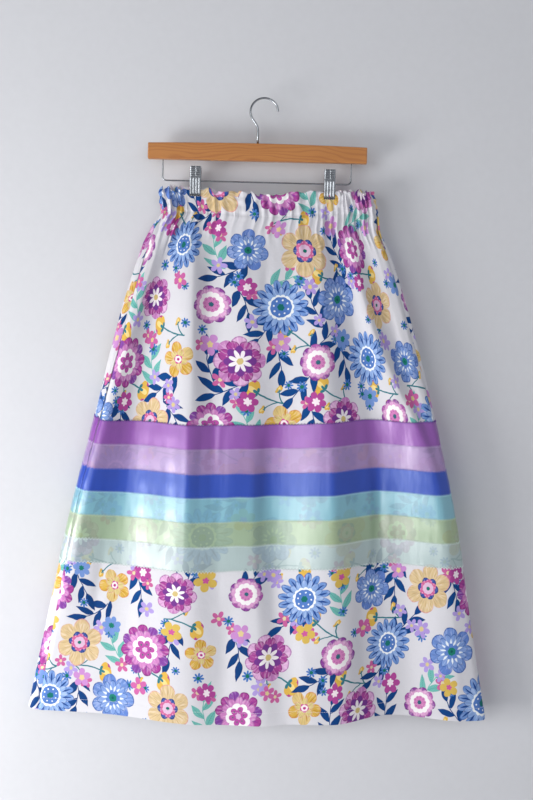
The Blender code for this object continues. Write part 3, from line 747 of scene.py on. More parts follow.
def line_on(panel, drop, lift, reach, border=None):
    """A fine line of points across a panel at one drop, with three rows to move between."""
    cloth = cloth_rows(panel, np.array((drop - reach, drop, drop + reach)))
    if border is not None:
        lift = lift + edge_pucker(cloth.flat[1, :, 0], border)[None, :, None]
    points = cloth.points + cloth.outward * lift
    steps = np.linalg.norm(np.diff(points[1], axis=0), axis=1)
    distances = np.concatenate(([0.0], np.cumsum(steps)))
    return points, cloth.outward[1], distances


def read_line(rows, outward, distances, places, shifts):
    """Points at some distances along a line, each shifted across it by -1 to 1 rows."""
    found = np.empty((len(places), 3))
    ups = np.empty((len(places), 3))
    for axis in range(3):
        above = np.interp(places, distances, rows[0, :, axis])
        middle = np.interp(places, distances, rows[1, :, axis])
        below = np.interp(places, distances, rows[2, :, axis])
        found[:, axis] = middle + np.where(shifts < 0, (middle - above) * shifts,
                                           (below - middle) * shifts)
        ups[:, axis] = np.interp(places, distances, outward[:, axis])
    return found, ups


def build_zigzag(panel, number, lift, name, material):
    rows, outward, distances = line_on(panel, ribbon_start(number, panel), lift, ZIGZAG_WIDTH / 2,
                                       number)
    places = np.arange(THREAD, distances[-1] - THREAD, ZIGZAG_PITCH / ZIGZAG_POINTS)
    shifts = np.arcsin(np.sin(places * math.tau / ZIGZAG_PITCH)) * 2 / math.pi
    run = read_line(rows, outward, distances, places, shifts)
    piece = tube_mesh(name, [run], ZIGZAG_THREAD, material)
    return finish_piece(piece)


def build_stitches(panel, drop, name, material):
    """A row of straight stitches, each a short thread with its ends in the cloth."""
    rows, outward, distances = line_on(panel, drop, THREAD_LIFT, 1 * MM)
    runs = []
    place = STITCH_GAP
    while place + STITCH_LENGTH < distances[-1]:
        places = place + STITCH_LENGTH * np.array(STITCH_SHAPE)
        points, ups = read_line(rows, outward, distances, places, np.zeros(len(STITCH_SHAPE)))
        points[0] -= ups[0] * THREAD
        points[-1] -= ups[-1] * THREAD
        runs.append((points, ups))
        place += STITCH_LENGTH + STITCH_GAP
    piece = tube_mesh(name, runs, THREAD, material)
    return finish_piece(piece)


def build_sewing(panel, threads):
    cotton, satin = threads
    sewing = []
    on_satin = RIBBON_LIFT + RIBBON_WALL + THREAD_LIFT
    for number, material in enumerate(satin):
        name = "{}_zigzag_{}".format(panel.name, number + 1)
        sewing.append(build_zigzag(panel, number, on_satin, name, material))
    rows = (("casing", CASING_DEPTH), ("hem", SKIRT_LENGTH - HEM_DEPTH))
    for name, drop in rows:
        sewing.append(build_stitches(panel, drop, "{}_{}_stitches".format(panel.name, name), cotton))
    return sewing


# Hanger

def curve_tube(name, points, thickness, material, sides=6):
    """A round wire along points, with closed and slightly rounded ends."""
    curve = bpy.data.curves.new(name, "CURVE")
    curve.dimensions = "3D"
    curve.bevel_depth = thickness / 2
    curve.bevel_resolution = sides
    curve.use_fill_caps = True
    spline = curve.splines.new("POLY")
    spline.points.add(len(points) - 1)
    for slot, point in zip(spline.points, points):
        slot.co = (*point, 1.0)
    for index in (0, -1):
        spline.points[index].radius = WIRE_END
    spline.use_smooth = True
    curve.materials.append(material)
    return link(name, curve)


def arc(centre_x, centre_z, radius, first, last, steps):
    """Points round a centre in the hanger's plane, between two angles."""
    return [(centre_x + radius * math.cos(angle), 0.0, centre_z + radius * math.sin(angle))
            for angle in np.linspace(first, last, steps)]


def hook_points():
    """Along the hook's wire, from its open tip round to the stem."""
    points = arc(0.0, HOOK_WIRE / 2 - HOOK_RADIUS, HOOK_RADIUS, math.radians(HOOK_TIP_ANGLE),
                 math.radians(HOOK_BACK_ANGLE), HOOK_STEPS)
    tip = (points[0][0], 0.0, points[0][2] - 0.3 * MM)
    slope_x, slope_z = STEM_X - points[-1][0], STEM_BEND_Z - points[-1][2]
    slope = math.hypot(slope_x, slope_z)
    bend_x = STEM_X - slope_x / slope * STEM_BEND_REACH
    bend_z = STEM_BEND_Z - slope_z / slope * STEM_BEND_REACH
    for t in np.linspace(0, 1, BEND_STEPS):
        x = mix(mix(bend_x, STEM_X, t), STEM_X, t)
        z = mix(mix(bend_z, STEM_BEND_Z, t), mix(STEM_BEND_Z, STEM_BEND_Z - STEM_BEND_REACH, t), t)
        points.append((x, 0.0, z))
    return [tip] + points


def build_hook(chrome):
    bar_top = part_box("hanger_bar")[1][2]
    points = hook_points() + [(STEM_X, 0.0, bar_top + WIRE_GAP), (STEM_X, 0.0, bar_top + WIRE_GAP / 2)]
    piece = curve_tube("hook", points, HOOK_WIRE, chrome)
    return finish_piece(piece, ("hanger_hook",))


def build_rail(chrome):
    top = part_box("hanger_bar")[0][2] - WIRE_GAP
    points = [(RAIL_LEFT, 0.0, top)]
    for centre_x, first in ((RAIL_LEFT + RAIL_BEND, math.pi), (RAIL_RIGHT - RAIL_BEND, 1.5 * math.pi)):
        points += arc(centre_x, RAIL_Z + RAIL_BEND, RAIL_BEND, first, first + math.pi / 2, BEND_STEPS)
    points.append((RAIL_RIGHT, 0.0, top))
    piece = curve_tube("rail", points, RAIL_WIRE, chrome)
    return finish_piece(piece, ("hanger_rail",))


def jaw_relief(across, z):
    """Pressed ridges on the grip and flutes below them."""
    half = JAW_WIDTH / 2
    relief = np.zeros(np.broadcast(across, z).shape)
    grip = (z > GRIP_BOTTOM) & (z < JAW[0].z - 1 * MM)
    share = (JAW[0].z - 1 * MM - z) / (JAW[0].z - 1 * MM - GRIP_BOTTOM)
    groove = ease(np.abs(across) / (GRIP_MIDDLE * half))
    groove = groove * ease((GRIP_SIDE * half - np.abs(across)) / (GRIP_FADE * half))
    ridges = np.sin(np.clip(share, 0, 1) * GRIP_RIDGES * math.pi) ** 2
    relief += np.where(grip, RIDGE_HEIGHT * ridges * groove - 0.5 * RIDGE_HEIGHT * (1 - groove), 0)
    fluted = ease((FLUTE_TOP - z) / (3 * MM)) * ease((z - LIP_TOP) / (2 * MM))
    flutes = np.cos(across / half * FLUTES * math.pi / 2 * FLUTE_SQUEEZE) ** 2
    relief -= fluted * FLUTE_DEPTH * flutes * ease((half - np.abs(across)) / (FLUTE_FADE * half))
    return relief


def build_jaw(place, centre_x, side, chrome):
    """One jaw as a pressed sheet: its face, its side flanges and its toothed lip."""
    name = "clip_{}_{}_jaw".format(place, "front" if side < 0 else "back")
    half = JAW_WIDTH / 2
    ends = (JAW[0].z, GRIP_BOTTOM, LIP_TOP, JAW[-1].z)
    parts = [np.linspace(*span) for span in zip(ends[:-1], ends[1:], JAW_ROWS)]
    heights = np.concatenate((parts[0][:-1], parts[1][:-1], parts[2]))
    faces_y = read([(-row.z, row.face) for row in JAW], -heights)
    flanges_y = np.interp(-heights, [-row.z for row in JAW], [row.flange for row in JAW])
    bend = np.linspace(0, math.pi / 2, 5)
    across_face = np.linspace(-half + JAW_CORNER, half - JAW_CORNER, JAW_COLUMNS)
    rows = []
    for z, face, flange in zip(heights, faces_y, flanges_y):
        inset = min(JAW_CORNER, (face - flange) * 0.8)
        left_x = -half + JAW_CORNER - JAW_CORNER * np.sin(bend)
        left_y = face - inset * (1 - np.cos(bend))
        x = np.concatenate(([-half], left_x[:0:-1], across_face, -left_x[1:], [half]))
        y = np.concatenate(([flange], left_y[:0:-1], np.full(JAW_COLUMNS, face), left_y[1:], [flange]))
        teeth = np.abs(((x / JAW_WIDTH + 0.5) * LIP_TEETH) % 1 - 0.5) * 2
        lip = ease((LIP_TOP - z) / (LIP_TOP - JAW[-1].z))
        row_z = np.full_like(x, z) + TOOTH_DEPTH * lip * teeth
        y = y + jaw_relief(x, z) * (np.abs(x) < half - JAW_CORNER * 0.5)
        rows.append(np.stack((centre_x + x, side * y, row_z), axis=1))
    points = np.array(rows)
    faces = grid_faces(*points.shape[:2], flip=side > 0)
    piece = link(name + "_sheet", new_mesh(name, points.reshape(-1, 3).tolist(), faces.tolist(), [chrome]))
    wall = piece.modifiers.new("Sheet", "SOLIDIFY")
    wall.thickness = JAW_SHEET
    wall.offset = -1.0
    return finish_piece(piece, (name,))


def build_spring(place, centre_x, chrome):
    radius = RAIL_WIRE / 2 + WIRE_GAP + SPRING_WIRE / 2
    arm_y = JAW[1].face - 1 * MM - WIRE_GAP - SPRING_WIRE / 2
    points = [(centre_x - SPRING_HALF_WIDTH, -arm_y, SPRING_ARM_Z)]
    count = int((SPRING_TURNS + 0.5) * SPRING_POINTS)
    for step in range(count + 1):
        angle = math.pi + math.tau * step / SPRING_POINTS
        x = centre_x + mix(-SPRING_HALF_WIDTH, SPRING_HALF_WIDTH, step / count)
        points.append((x, radius * math.cos(angle), RAIL_Z + radius * math.sin(angle)))
    points.append((centre_x + SPRING_HALF_WIDTH, arm_y, SPRING_ARM_Z))
    piece = curve_tube("clip_{}_coil".format(place), points, SPRING_WIRE, chrome, 3)
    return finish_piece(piece, ("clip_{}_spring".format(place),))


# Shader arithmetic

def arithmetic(operation, flipped=False):
    """A method that joins a term to others by one maths node."""
    def method(*terms):
        return terms[0].net.maths(operation, *(terms[::-1] if flipped else terms))
    return method


class Term:
    """A socket in a node tree, on which arithmetic makes maths nodes."""

    def __init__(self, net, socket):
        self.net = net
        self.socket = socket

    __add__ = arithmetic("ADD")
    __radd__ = arithmetic("ADD", flipped=True)
    __sub__ = arithmetic("SUBTRACT")
    __rsub__ = arithmetic("SUBTRACT", flipped=True)
    __mul__ = arithmetic("MULTIPLY")
    __rmul__ = arithmetic("MULTIPLY", flipped=True)
    __truediv__ = arithmetic("DIVIDE")
    __pow__ = arithmetic("POWER")
    __abs__ = arithmetic("ABSOLUTE")
    __lt__ = arithmetic("LESS_THAN")
    __gt__ = arithmetic("GREATER_THAN")


class Net:
    """A node tree that is written as arithmetic on terms."""

    def __init__(self, tree):
        self.tree = tree

    def node(self, kind, **settings):
        item = self.tree.nodes.new(kind)
        for name, value in settings.items():
            setattr(item, name, value)
        return item

    def dress(self, item, values):
        """Feed some of a node's inputs, by their names or numbers."""
        for name, value in values.items():
            if isinstance(value, Term):
                self.tree.links.new(value.socket, item.inputs[name])
            else:
                item.inputs[name].default_value = value

    def make(self, kind, inputs, output=0, **settings):
        """A node with its inputs fed, as the term of one of its outputs."""
        item = self.node(kind, **settings)
        self.dress(item, inputs)
        return Term(self, item.outputs[output])

    def maths(self, operation, *values, clamp=False):
        return self.make("ShaderNodeMath", dict(enumerate(values)), operation=operation, use_clamp=clamp)

    def most(self, first, *others):
        """The highest of some terms."""
        for other in others:
            first = self.maths("MAXIMUM", first, other)
        return first

    def vector(self, operation, *values):
        return self.make("ShaderNodeVectorMath", dict(enumerate(values)), "Vector", operation=operation)

    def length(self, vector):
        return self.make("ShaderNodeVectorMath", {0: vector}, "Value", operation="LENGTH")

    def join(self, x, y, z=0.0):
        return self.make("ShaderNodeCombineXYZ", {0: x, 1: y, 2: z})

    def split(self, vector):
        item = self.node("ShaderNodeSeparateXYZ")
        self.dress(item, {0: vector})
        return [Term(self, socket) for socket in item.outputs]

    def soft(self, value, low, high):
        """A smooth step of a value from 0 at low to 1 at high."""
        inputs = {"Value": value, "From Min": low, "From Max": high}
        return self.make("ShaderNodeMapRange", inputs, "Result", interpolation_type="SMOOTHSTEP")

    def blend(self, share, below, above, mode="MIX"):
        return self.make("ShaderNodeMix", {0: share, 6: below, 7: above}, 2, data_type="RGBA",
                         blend_type=mode)

    def pick(self, chosen, otherwise, picked):
        """One of two vectors, by a term that is 0 or 1."""
        return self.make("ShaderNodeMix", {0: chosen, 4: otherwise, 5: picked}, 1, data_type="VECTOR")

    def lookup(self, key, rows):
        """Colour and alpha of the row that a key from 0 to 1 falls in."""
        item = self.node("ShaderNodeValToRGB")
        ramp = item.color_ramp
        ramp.interpolation = "CONSTANT"
        while len(ramp.elements) < len(rows):
            ramp.elements.new(1.0)
        while len(ramp.elements) > len(rows):
            ramp.elements.remove(ramp.elements[-1])
        for index, row in enumerate(rows):
            ramp.elements[index].position = index / len(rows)
            ramp.elements[index].color = row
        self.dress(item, {0: key})
        return Term(self, item.outputs["Color"]), Term(self, item.outputs["Alpha"])

    def paint(self, key, texts):
        """The colour of the row that a key falls in."""
        return self.lookup(key, [colour(text) for text in texts])[0]

    def noise(self, vector, scale, detail=2.0, roughness=0.5, colour_too=False):
        inputs = {"Vector": vector, "Scale": scale, "Detail": detail, "Roughness": roughness}
        return self.make("ShaderNodeTexNoise", inputs, "Color" if colour_too else "Fac")

    def group(self, tree, **inputs):
        item = self.node("ShaderNodeGroup", node_tree=tree)
        self.dress(item, inputs)
        return {socket.name: Term(self, socket) for socket in item.outputs}


SOCKET_KINDS = {"Local": "Vector", "Place": "Vector", "Cut": "Vector", "Cell": "Vector",
                "Chance": "Vector", "Colour": "Color"}


def new_group(name, inputs, outputs):
    """A node group, its net, its input terms, and its output node. Most sockets hold a number."""
    tree = bpy.data.node_groups.new(name, "ShaderNodeTree")
    for way, sockets in (("INPUT", inputs), ("OUTPUT", outputs)):
        for socket in sockets:
            tree.interface.new_socket(name=socket, in_out=way,
                                      socket_type="NodeSocket" + SOCKET_KINDS.get(socket, "Float"))
    net = Net(tree)
    entry = net.node("NodeGroupInput")
    end = net.node("NodeGroupOutput")
    return tree, net, {socket.name: Term(net, socket) for socket in entry.outputs if socket.name}, end


# The print: generic flowers and sprigs, scattered over the cut in millimetres

Petals = namedtuple("Petals", "count reach notch roundness colour")
Veins = namedtuple("Veins", "count start end width colour")
Dots = namedtuple("Dots", "count distance size colour")
Flower = namedtuple("Flower", "name petals veins dots other")
NO_VEINS = (1, 50, 0, 0.1, "#FFFFFF")
NO_DOTS = (4, 50, 0.01, "#FFFFFF")


def flower(name, rows, veins=NO_VEINS, dots=NO_DOTS, other=None):
    return Flower(name, tuple(Petals(*row) for row in rows), Veins(*veins), Dots(*dots), other)


FLOWERS = (
    flower("magenta dahlia", (
        (12, 37, 0.20, 0.5, "#A13D8F"),
        (12, 29, 0.22, 0.6, "#C47DB8"),
        (8, 20, 0.20, 0.5, "#EBE8E9"),
        (6, 15, 0.45, 0.8, "#B04E9C"),
        (6, 4.5, 0.2, 1.0, "#D5B3D2")), (12, 21, 33, 0.9, "#7C358D"),
        (6, 8.5, 1.3, "#187060"), "#7F4299"),
    flower("blue daisy", (
        (16, 41, 0.34, 0.5, "#6A8EC9"),
        (16, 31, 0.28, 0.7, "#84A3D4"),
        (14, 19, 0.12, 0.6, "#E9ECED"),
        (10, 15.5, 0.04, 1.0, "#4F77BB"),
        (6, 5.5, 0.15, 1.0, "#176B65")), (16, 19, 38, 1.5, "#1C4388"),
        (8, 10.5, 1.5, "#E7EBED"), "#6A8EC9"),
    flower("golden cup", (
        (5, 27, 0.50, 0.6, "#CCA542"),
        (5, 17, 0.45, 0.9, "#CFBD7B"),
        (5, 7.5, 0.25, 0.8, "#C64C91"),
        (5, 5.6, 0.1, 1.0, "#ECDEE2"),
        (5, 2.6, 0.1, 1.0, "#AD357C")), (6, 9, 24, 1.1, "#B9842D"), NO_DOTS, "#D0B676"),
    flower("cornflower", (
        (7, 35, 0.34, 0.5, "#6887C4"),
        (14, 26, 0.25, 0.8, "#7896CD"),
        (7, 12, 0.30, 0.8, "#587BBD"),
        (7, 6.2, 0.1, 1.0, "#1B7665"),
        (7, 2.2, 0.1, 1.0, "#0B5351")), (14, 8, 19, 1.5, "#E3E8EC"), NO_DOTS, "#5C7CC0"),
    flower("plum peony", (
        (8, 34, 0.24, 0.5, "#D2A3CB"),
        (8, 29, 0.30, 0.55, "#A44391"),
        (8, 21, 0.34, 0.7, "#703788"),
        (8, 15.5, 0.62, 1.1, "#EBE4E7"),
        (6, 4.8, 0.1, 1.0, "#CCB77A")), NO_VEINS, (8, 18.2, 1.0, "#CAA6D0"), "#BE7DB6"),
    flower("cream primrose", (
        (6, 38, 0.38, 0.5, "#CFB68A"),
        (6, 18, 0.30, 0.6, "#2E4D9A"),
        (6, 14.5, 0.25, 0.6, "#C76191"),
        (10, 9.5, 0.08, 1.0, "#D4B3CD"),
        (6, 3.2, 0.1, 1.0, "#186D63")), (18, 18, 31, 0.8, "#BD9E6D"),
        (12, 12.0, 0.9, "#D9C7D8"), "#CFB68A"),
    flower("rose ring", (
        (9, 28, 0.18, 0.5, "#8B3F97"),
        (9, 25, 0.16, 0.5, "#D29BC6"),
        (11, 18.5, 0.12, 0.6, "#ECE9E9"),
        (10, 11.5, 0.14, 0.7, "#C87CB2"),
        (8, 4.0, 0.25, 1.0, "#2F6172")), NO_VEINS, (10, 8.0, 0.9, "#9B3682"), "#A955A2"))
SMALL_FLOWERS = (
    flower("pink star", (
        (5, 13.5, 0.60, 0.8, "#C1609C"),
        (5, 4.0, 0.3, 1.0, "#D0C28D"))),
    flower("lilac star", (
        (6, 14, 0.58, 0.8, "#A58FCD"),
        (6, 4.2, 0.3, 1.0, "#CDBD86"))),
    flower("yellow cup", (
        (5, 17, 0.48, 0.6, "#CDAE56"),
        (5, 5.5, 0.4, 1.0, "#C05393"))),
    flower("blue cup", (
        (7, 16, 0.40, 0.6, "#708FC9"),
        (7, 5.0, 0.3, 1.0, "#1B7665"))),
    flower("mauve cup", (
        (5, 15, 0.52, 0.7, "#BE86C2"),
        (5, 5.0, 0.3, 1.0, "#D8C48E"))),
    flower("magenta cup", (
        (6, 15.5, 0.42, 0.6, "#A8448F"),
        (6, 6.5, 0.4, 1.0, "#EBDDE4"))))
TINY_FLOWERS = (
    flower("blue spark", (
        (8, 8.8, 0.66, 0.8, "#4171B5"),
        (6, 3.2, 0.2, 1.0, "#176B56"))),
    flower("lilac spark", (
        (5, 12.5, 0.62, 0.9, "#A794D1"),
        (5, 3.4, 0.2, 1.0, "#CDBF8D"))),
    flower("blue dot", (
        (8, 8.4, 0.66, 0.8, "#4171B5"),
        (6, 3.1, 0.2, 1.0, "#176B56"))),
    flower("pink spark", (
        (5, 12.0, 0.64, 0.9, "#BE5D94"),
        (5, 3.2, 0.2, 1.0, "#D1C79F"))))
SPRIG_COLOURS = ("#053F7C", "#0A3A74", "#6FB4AB", "#083D7A")
TEAL_LEAVES = (0.5, 0.75)         # the part of those rows that is teal, whose leaves have pale veins
LEAF_VEIN_COLOUR = "#4E938F"
SPRAY_COLOURS = (("Back", "#B03F85"), ("Bud", "#D5AC4C"), ("Heart", "#E6CF88"), ("Stem", "#2F7480"))

GROUND = "#CFCED3"
INK_STREAKS = 0.17
EDGE = 0.45                       # softness of every printed edge, in millimetres
RIM = (2.5, 1.2)                  # where a petal's dark rim starts and is full, inside its edge
OTHER_RIM = (1.5, 0.7)            # the same for a petal in the flower's other colour
INK_FINENESS = (9, 0.06, 5.0)     # of the streaks round the flower, outwards and from petal to petal
INK_TINTS = ((0.5, 0.66, "#FFFFFF"), (0.5, 0.34, "#3A3458"))
OTHER_SHARE = 0.6                 # how far the rim of such a petal keeps the first colour
OTHER_EVERY = 3.0                 # such a petal comes this often round the flower
ROSY_RIM = (1.0, 0.68, 1.1)       # parts of a petal's red, green and blue that its rim has
DARK_RIM = (0.25, 0.4, 0.6)
DEEP_RIM = (0.62, 0.5, 0.66)
MOST_WIDTH = 4
MOST_PETALS = 24
MOST_REACH = 50
MOST_ROUNDNESS = 2
LATTICE = 105                     # spacing of the big flowers, in millimetres


def shape_row(petals):
    return (petals.count / MOST_PETALS, petals.reach / MOST_REACH, petals.notch,
            petals.roundness / MOST_ROUNDNESS)


def outline_of(text):
    """Blue petals have a dark outline, yellow ones a rosy one and the others a deeper one."""
    red, green, blue, alpha = colour(text)
    tint = DEEP_RIM
    if green > blue:
        tint = ROSY_RIM
    elif green > red:
        tint = DARK_RIM
    return red * tint[0], green * tint[1], blue * tint[2], alpha


def flower_group(name, flowers, detailed):
    """Draws the flower that the key names, about the middle of its own place."""
    tree, net, given, end = new_group(name, ("Local", "Key", "Turn", "Grow"), ("Colour", "Mask"))
    x, y, _ = net.split(given["Local"])
    radius = net.length(given["Local"]) / given["Grow"]
    angle = net.maths("ARCTAN2", y, x) + given["Turn"] * math.tau
    shade, mask = None, None
    for level in range(len(flowers[0].petals)):
        shape, roundness = net.lookup(given["Key"], [shape_row(flower.petals[level]) for flower in flowers])
        count, reach, notch = net.split(shape)
        half_turns = net.maths("ROUND", count * MOST_PETALS) * 0.5
        lobe = abs(net.maths("COSINE", angle * half_turns + level * math.pi / 2))
        lobe = lobe ** (roundness * MOST_ROUNDNESS)
        edge = reach * MOST_REACH * (1 - notch * (1 - lobe))
        inside = net.soft(edge - radius, 0.0, EDGE)
        paint = net.paint(given["Key"], [flower.petals[level].colour for flower in flowers])
        if detailed and level < 2:
            rim = net.soft(edge - radius, *RIM)
            dark, _ = net.lookup(given["Key"], [outline_of(flower.petals[level].colour)
                                                for flower in flowers])
            paint = net.blend(rim, paint, dark)
        if level == 0 and detailed:
            other = net.paint(given["Key"], [flower.other for flower in flowers])
            order = net.maths("ROUND", angle * half_turns / math.pi)
            chosen = net.maths("FLOORED_MODULO", order, OTHER_EVERY) < 0.5
            paint = net.blend(chosen * (1 - net.soft(edge - radius, *OTHER_RIM) * OTHER_SHARE), paint, other)
        if detailed and level < 2:
            round_it, outwards, onwards = INK_FINENESS
            ink = net.noise(net.join(angle * round_it, radius * outwards, level * onwards), 1.0, 2.0)
            for faint, strong, tint in INK_TINTS:
                paint = net.blend(net.soft(ink, faint, strong) * INK_STREAKS, paint, colour(tint))
        if level == 0:
            shade, mask = paint, inside
        else:
            shade = net.blend(inside, shade, paint)
        if detailed and level == 1:
            shade = draw_veins(net, given["Key"], flowers, shade, radius, angle)
    if detailed:
        shade = draw_dots(net, given["Key"], flowers, shade, radius, angle)
    net.dress(end, {"Colour": shade, "Mask": mask})
    return tree


def draw_veins(net, key, flowers, shade, radius, angle):
    """Fine lines that run out from the middle, narrowing to their ends."""
    shape, width = net.lookup(key, [
        (flower.veins.count / MOST_PETALS, flower.veins.start / MOST_REACH,
         flower.veins.end / MOST_REACH, flower.veins.width / MOST_WIDTH) for flower in flowers])
    count, start, end = net.split(shape)
    half_turns = net.maths("ROUND", count * MOST_PETALS) * 0.5
    aside = abs(net.maths("SINE", angle * half_turns)) * radius / half_turns
    along = net.maths("DIVIDE", radius - start * MOST_REACH, (end - start) * MOST_REACH)
    inside = (along > 0.0) * (along < 1.0)
    bulge = net.maths("SINE", along * math.pi)
    line = net.soft(width * MOST_WIDTH * bulge - aside, 0.0, EDGE) * inside
    paint = net.paint(key, [flower.veins.colour for flower in flowers])
    return net.blend(line, shade, paint)


def draw_dots(net, key, flowers, shade, radius, angle):
    """A ring of dots."""
    shape, _ = net.lookup(key, [
        (flower.dots.count / MOST_PETALS, flower.dots.distance / MOST_REACH,
         flower.dots.size / MOST_WIDTH, 1.0) for flower in flowers])
    count, distance, size = net.split(shape)
    count = net.maths("ROUND", count * MOST_PETALS)
    distance = distance * MOST_REACH
    turns = angle * count / math.tau
    aside = (net.maths("FLOORED_MODULO", turns, 1.0) - 0.5) * math.tau * distance / count
    reach = net.length(net.join(aside, radius - distance))
    paint = net.paint(key, [flower.dots.colour for flower in flowers])
    return net.blend(net.soft(size * MOST_WIDTH - reach, 0.0, EDGE), shade, paint)


def turned_place(net, given, length):
    """The place about a sprig's middle, turned and bent to its own direction."""
    x, y, _ = net.split(net.make("ShaderNodeVectorRotate",
                                 {"Vector": given["Local"], "Angle": given["Turn"]},
                                 rotation_type="Z_AXIS"))
    return x - given["Bend"] * (y * y / length), y


def blade_mask(net, along, across, length, width, fullness):
    """A pointed leaf or bud: fullness under 1 puts its widest part nearer its foot."""
    share = net.maths("DIVIDE", along, length, clamp=True)
    belly = net.maths("SINE", (share ** fullness) * math.pi) * width
    return net.soft(belly - abs(across), 0.0, EDGE)


def sprig_group():
    """Draws a bent stem with pointed leaves on alternate sides and one at its tip."""
    length, pitch, leaf, width = 66, 25, 33, 6.0
    slant = math.radians(40)
    foot, half_stem, midrib, rib = 0.85, 0.95, 0.45, 0.4
    rib_pitch, rib_slant, blur = 3.4, 1.2, 0.15
    tree, net, given, end = new_group("sprig", ("Local", "Turn", "Bend"), ("Mask", "Vein"))
    x, y = turned_place(net, given, length)
    right = x > 0.0
    aside = abs(x)
    y_leaf = y + right * (pitch / 2)
    number = net.maths("ROUND", (y_leaf - aside / math.tan(slant)) / pitch)
    number = net.most(net.maths("MINIMUM", number, 0.0), -1.0)
    up = y_leaf - number * pitch
    along = aside * math.sin(slant) + up * math.cos(slant)
    across = aside * math.cos(slant) - up * math.sin(slant)
    shrink = 0.94 - number * 0.06
    blade = blade_mask(net, along, across, shrink * leaf, shrink * width, foot)
    tip = blade_mask(net, y - (length / 2 - 20), aside, leaf, width, foot)
    stem = net.soft(half_stem - aside, 0.0, EDGE) * (abs(y + 4) < (length / 2 - 8))
    ribs = net.maths("FLOORED_MODULO", along - abs(across) * rib_slant, rib_pitch) - rib_pitch / 2
    vein = net.most(net.soft(midrib - abs(across), -blur, blur), net.soft(rib - abs(ribs), -blur, blur))
    net.dress(end, {"Mask": net.most(blade, tip, stem), "Vein": vein * blade})
    return tree


BELL_SPREAD = 1.66                # angle from its middle at which a bell ends
BELL_SQUARENESS = 5.0
BELL_LOBES = 2.1
BELL_FOOT = 0.74                  # its reach between the petals, as a part of its size
FRONT_LOBE = 0.26
BACK_LOBE = 0.22
HEART_REACH = 0.84
SEPAL_FOOT = 0.16
SEPAL_LOBE = 0.26


def bell(net, across, along, size):
    """A bell flower from the side, open along its stem: its petals, back petals, heart and sepals."""
    radius = net.length(net.join(across, along)) / size
    angle = abs(net.maths("ARCTAN2", across, along))
    edge = EDGE / size
    rounded = 1 - (angle / BELL_SPREAD) ** BELL_SQUARENESS
    front = (BELL_FOOT + abs(net.maths("COSINE", angle * BELL_LOBES)) ** 0.6 * FRONT_LOBE) * rounded
    behind = (BELL_FOOT + abs(net.maths("SINE", angle * BELL_LOBES)) * BACK_LOBE) * rounded
    heart = net.maths("COSINE", angle * 2.3) * HEART_REACH
    sepals = SEPAL_FOOT + abs(net.maths("COSINE", angle * 2.6)) * SEPAL_LOBE
    front, behind, heart, sepals = (net.soft(reach - radius, 0.0, edge)
                                    for reach in (front, behind, heart, sepals))
    heart = heart * (angle < 0.6)
    return front * (angle < 1.5), behind * (angle < 1.7), heart, sepals * (angle < 1.9)


def spray_group():
    """Draws three curved stems that end in bell flowers."""
    length, slant = 70, math.radians(34)
    fork, stagger, small_size, large_size = 36, 7, 9.0, 21.0
    tree, net, given, end = new_group("spray", ("Local", "Turn", "Bend"), ("Back", "Bud", "Heart", "Stem"))
    x, y = turned_place(net, given, length)
    aside = abs(x)
    low = y + fork - (x > 0.0) * stagger
    along = aside * math.sin(slant) + low * math.cos(slant)
    across = aside * math.cos(slant) - low * math.sin(slant) - along * along * 0.012 + 0.6
    side_stem = net.soft(1.2 - abs(across), 0.0, EDGE) * (along > 0.0) * (along < 23.0)
    stem = net.soft(1.4 - aside, 0.0, EDGE) * (abs(y + 14) < 24.0)
    small = bell(net, across, along - 21, small_size)
    large = bell(net, x, y - 7, large_size)
    net.dress(end, {"Back": large[1], "Bud": net.most(small[0], large[0]),
                    "Heart": net.most(small[2], large[2]),
                    "Stem": net.most(side_stem, stem, small[3], large[3])})
    return tree


def scatter_group():
    """Finds the nearest of a honeycomb of places, and moves and marks each one at random."""
    tree, net, given, end = new_group("scatter", ("Place", "Loose", "Seed"), ("Local", "Cell", "Chance"))
    wide, high = LATTICE, LATTICE * math.sqrt(3)
    half = (wide / 2, high / 2, 0.0)
    first = net.vector("SNAP", net.vector("ADD", given["Place"], half), (wide, high, FLAT_SNAP))
    second = net.vector("ADD", net.vector("SNAP", given["Place"], (wide, high, FLAT_SNAP)), half)
    first_far = net.length(net.vector("SUBTRACT", given["Place"], first))
    second_far = net.length(net.vector("SUBTRACT", given["Place"], second))
    cell = net.pick(first_far < second_far, second, first)
    chance = net.make("ShaderNodeTexWhiteNoise", {"Vector": cell, "W": given["Seed"]}, "Color",
                      noise_dimensions="4D")
    centred = net.vector("MULTIPLY", net.vector("SUBTRACT", chance, (0.5, 0.5, 0.5)), (1.0, 1.0, 0.0))
    loose = net.join(given["Loose"], given["Loose"])
    local = net.vector("SUBTRACT", net.vector("SUBTRACT", given["Place"], cell),
                       net.vector("MULTIPLY", centred, loose))
    net.dress(end, {"Local": local, "Cell": cell, "Chance": chance})
    return tree


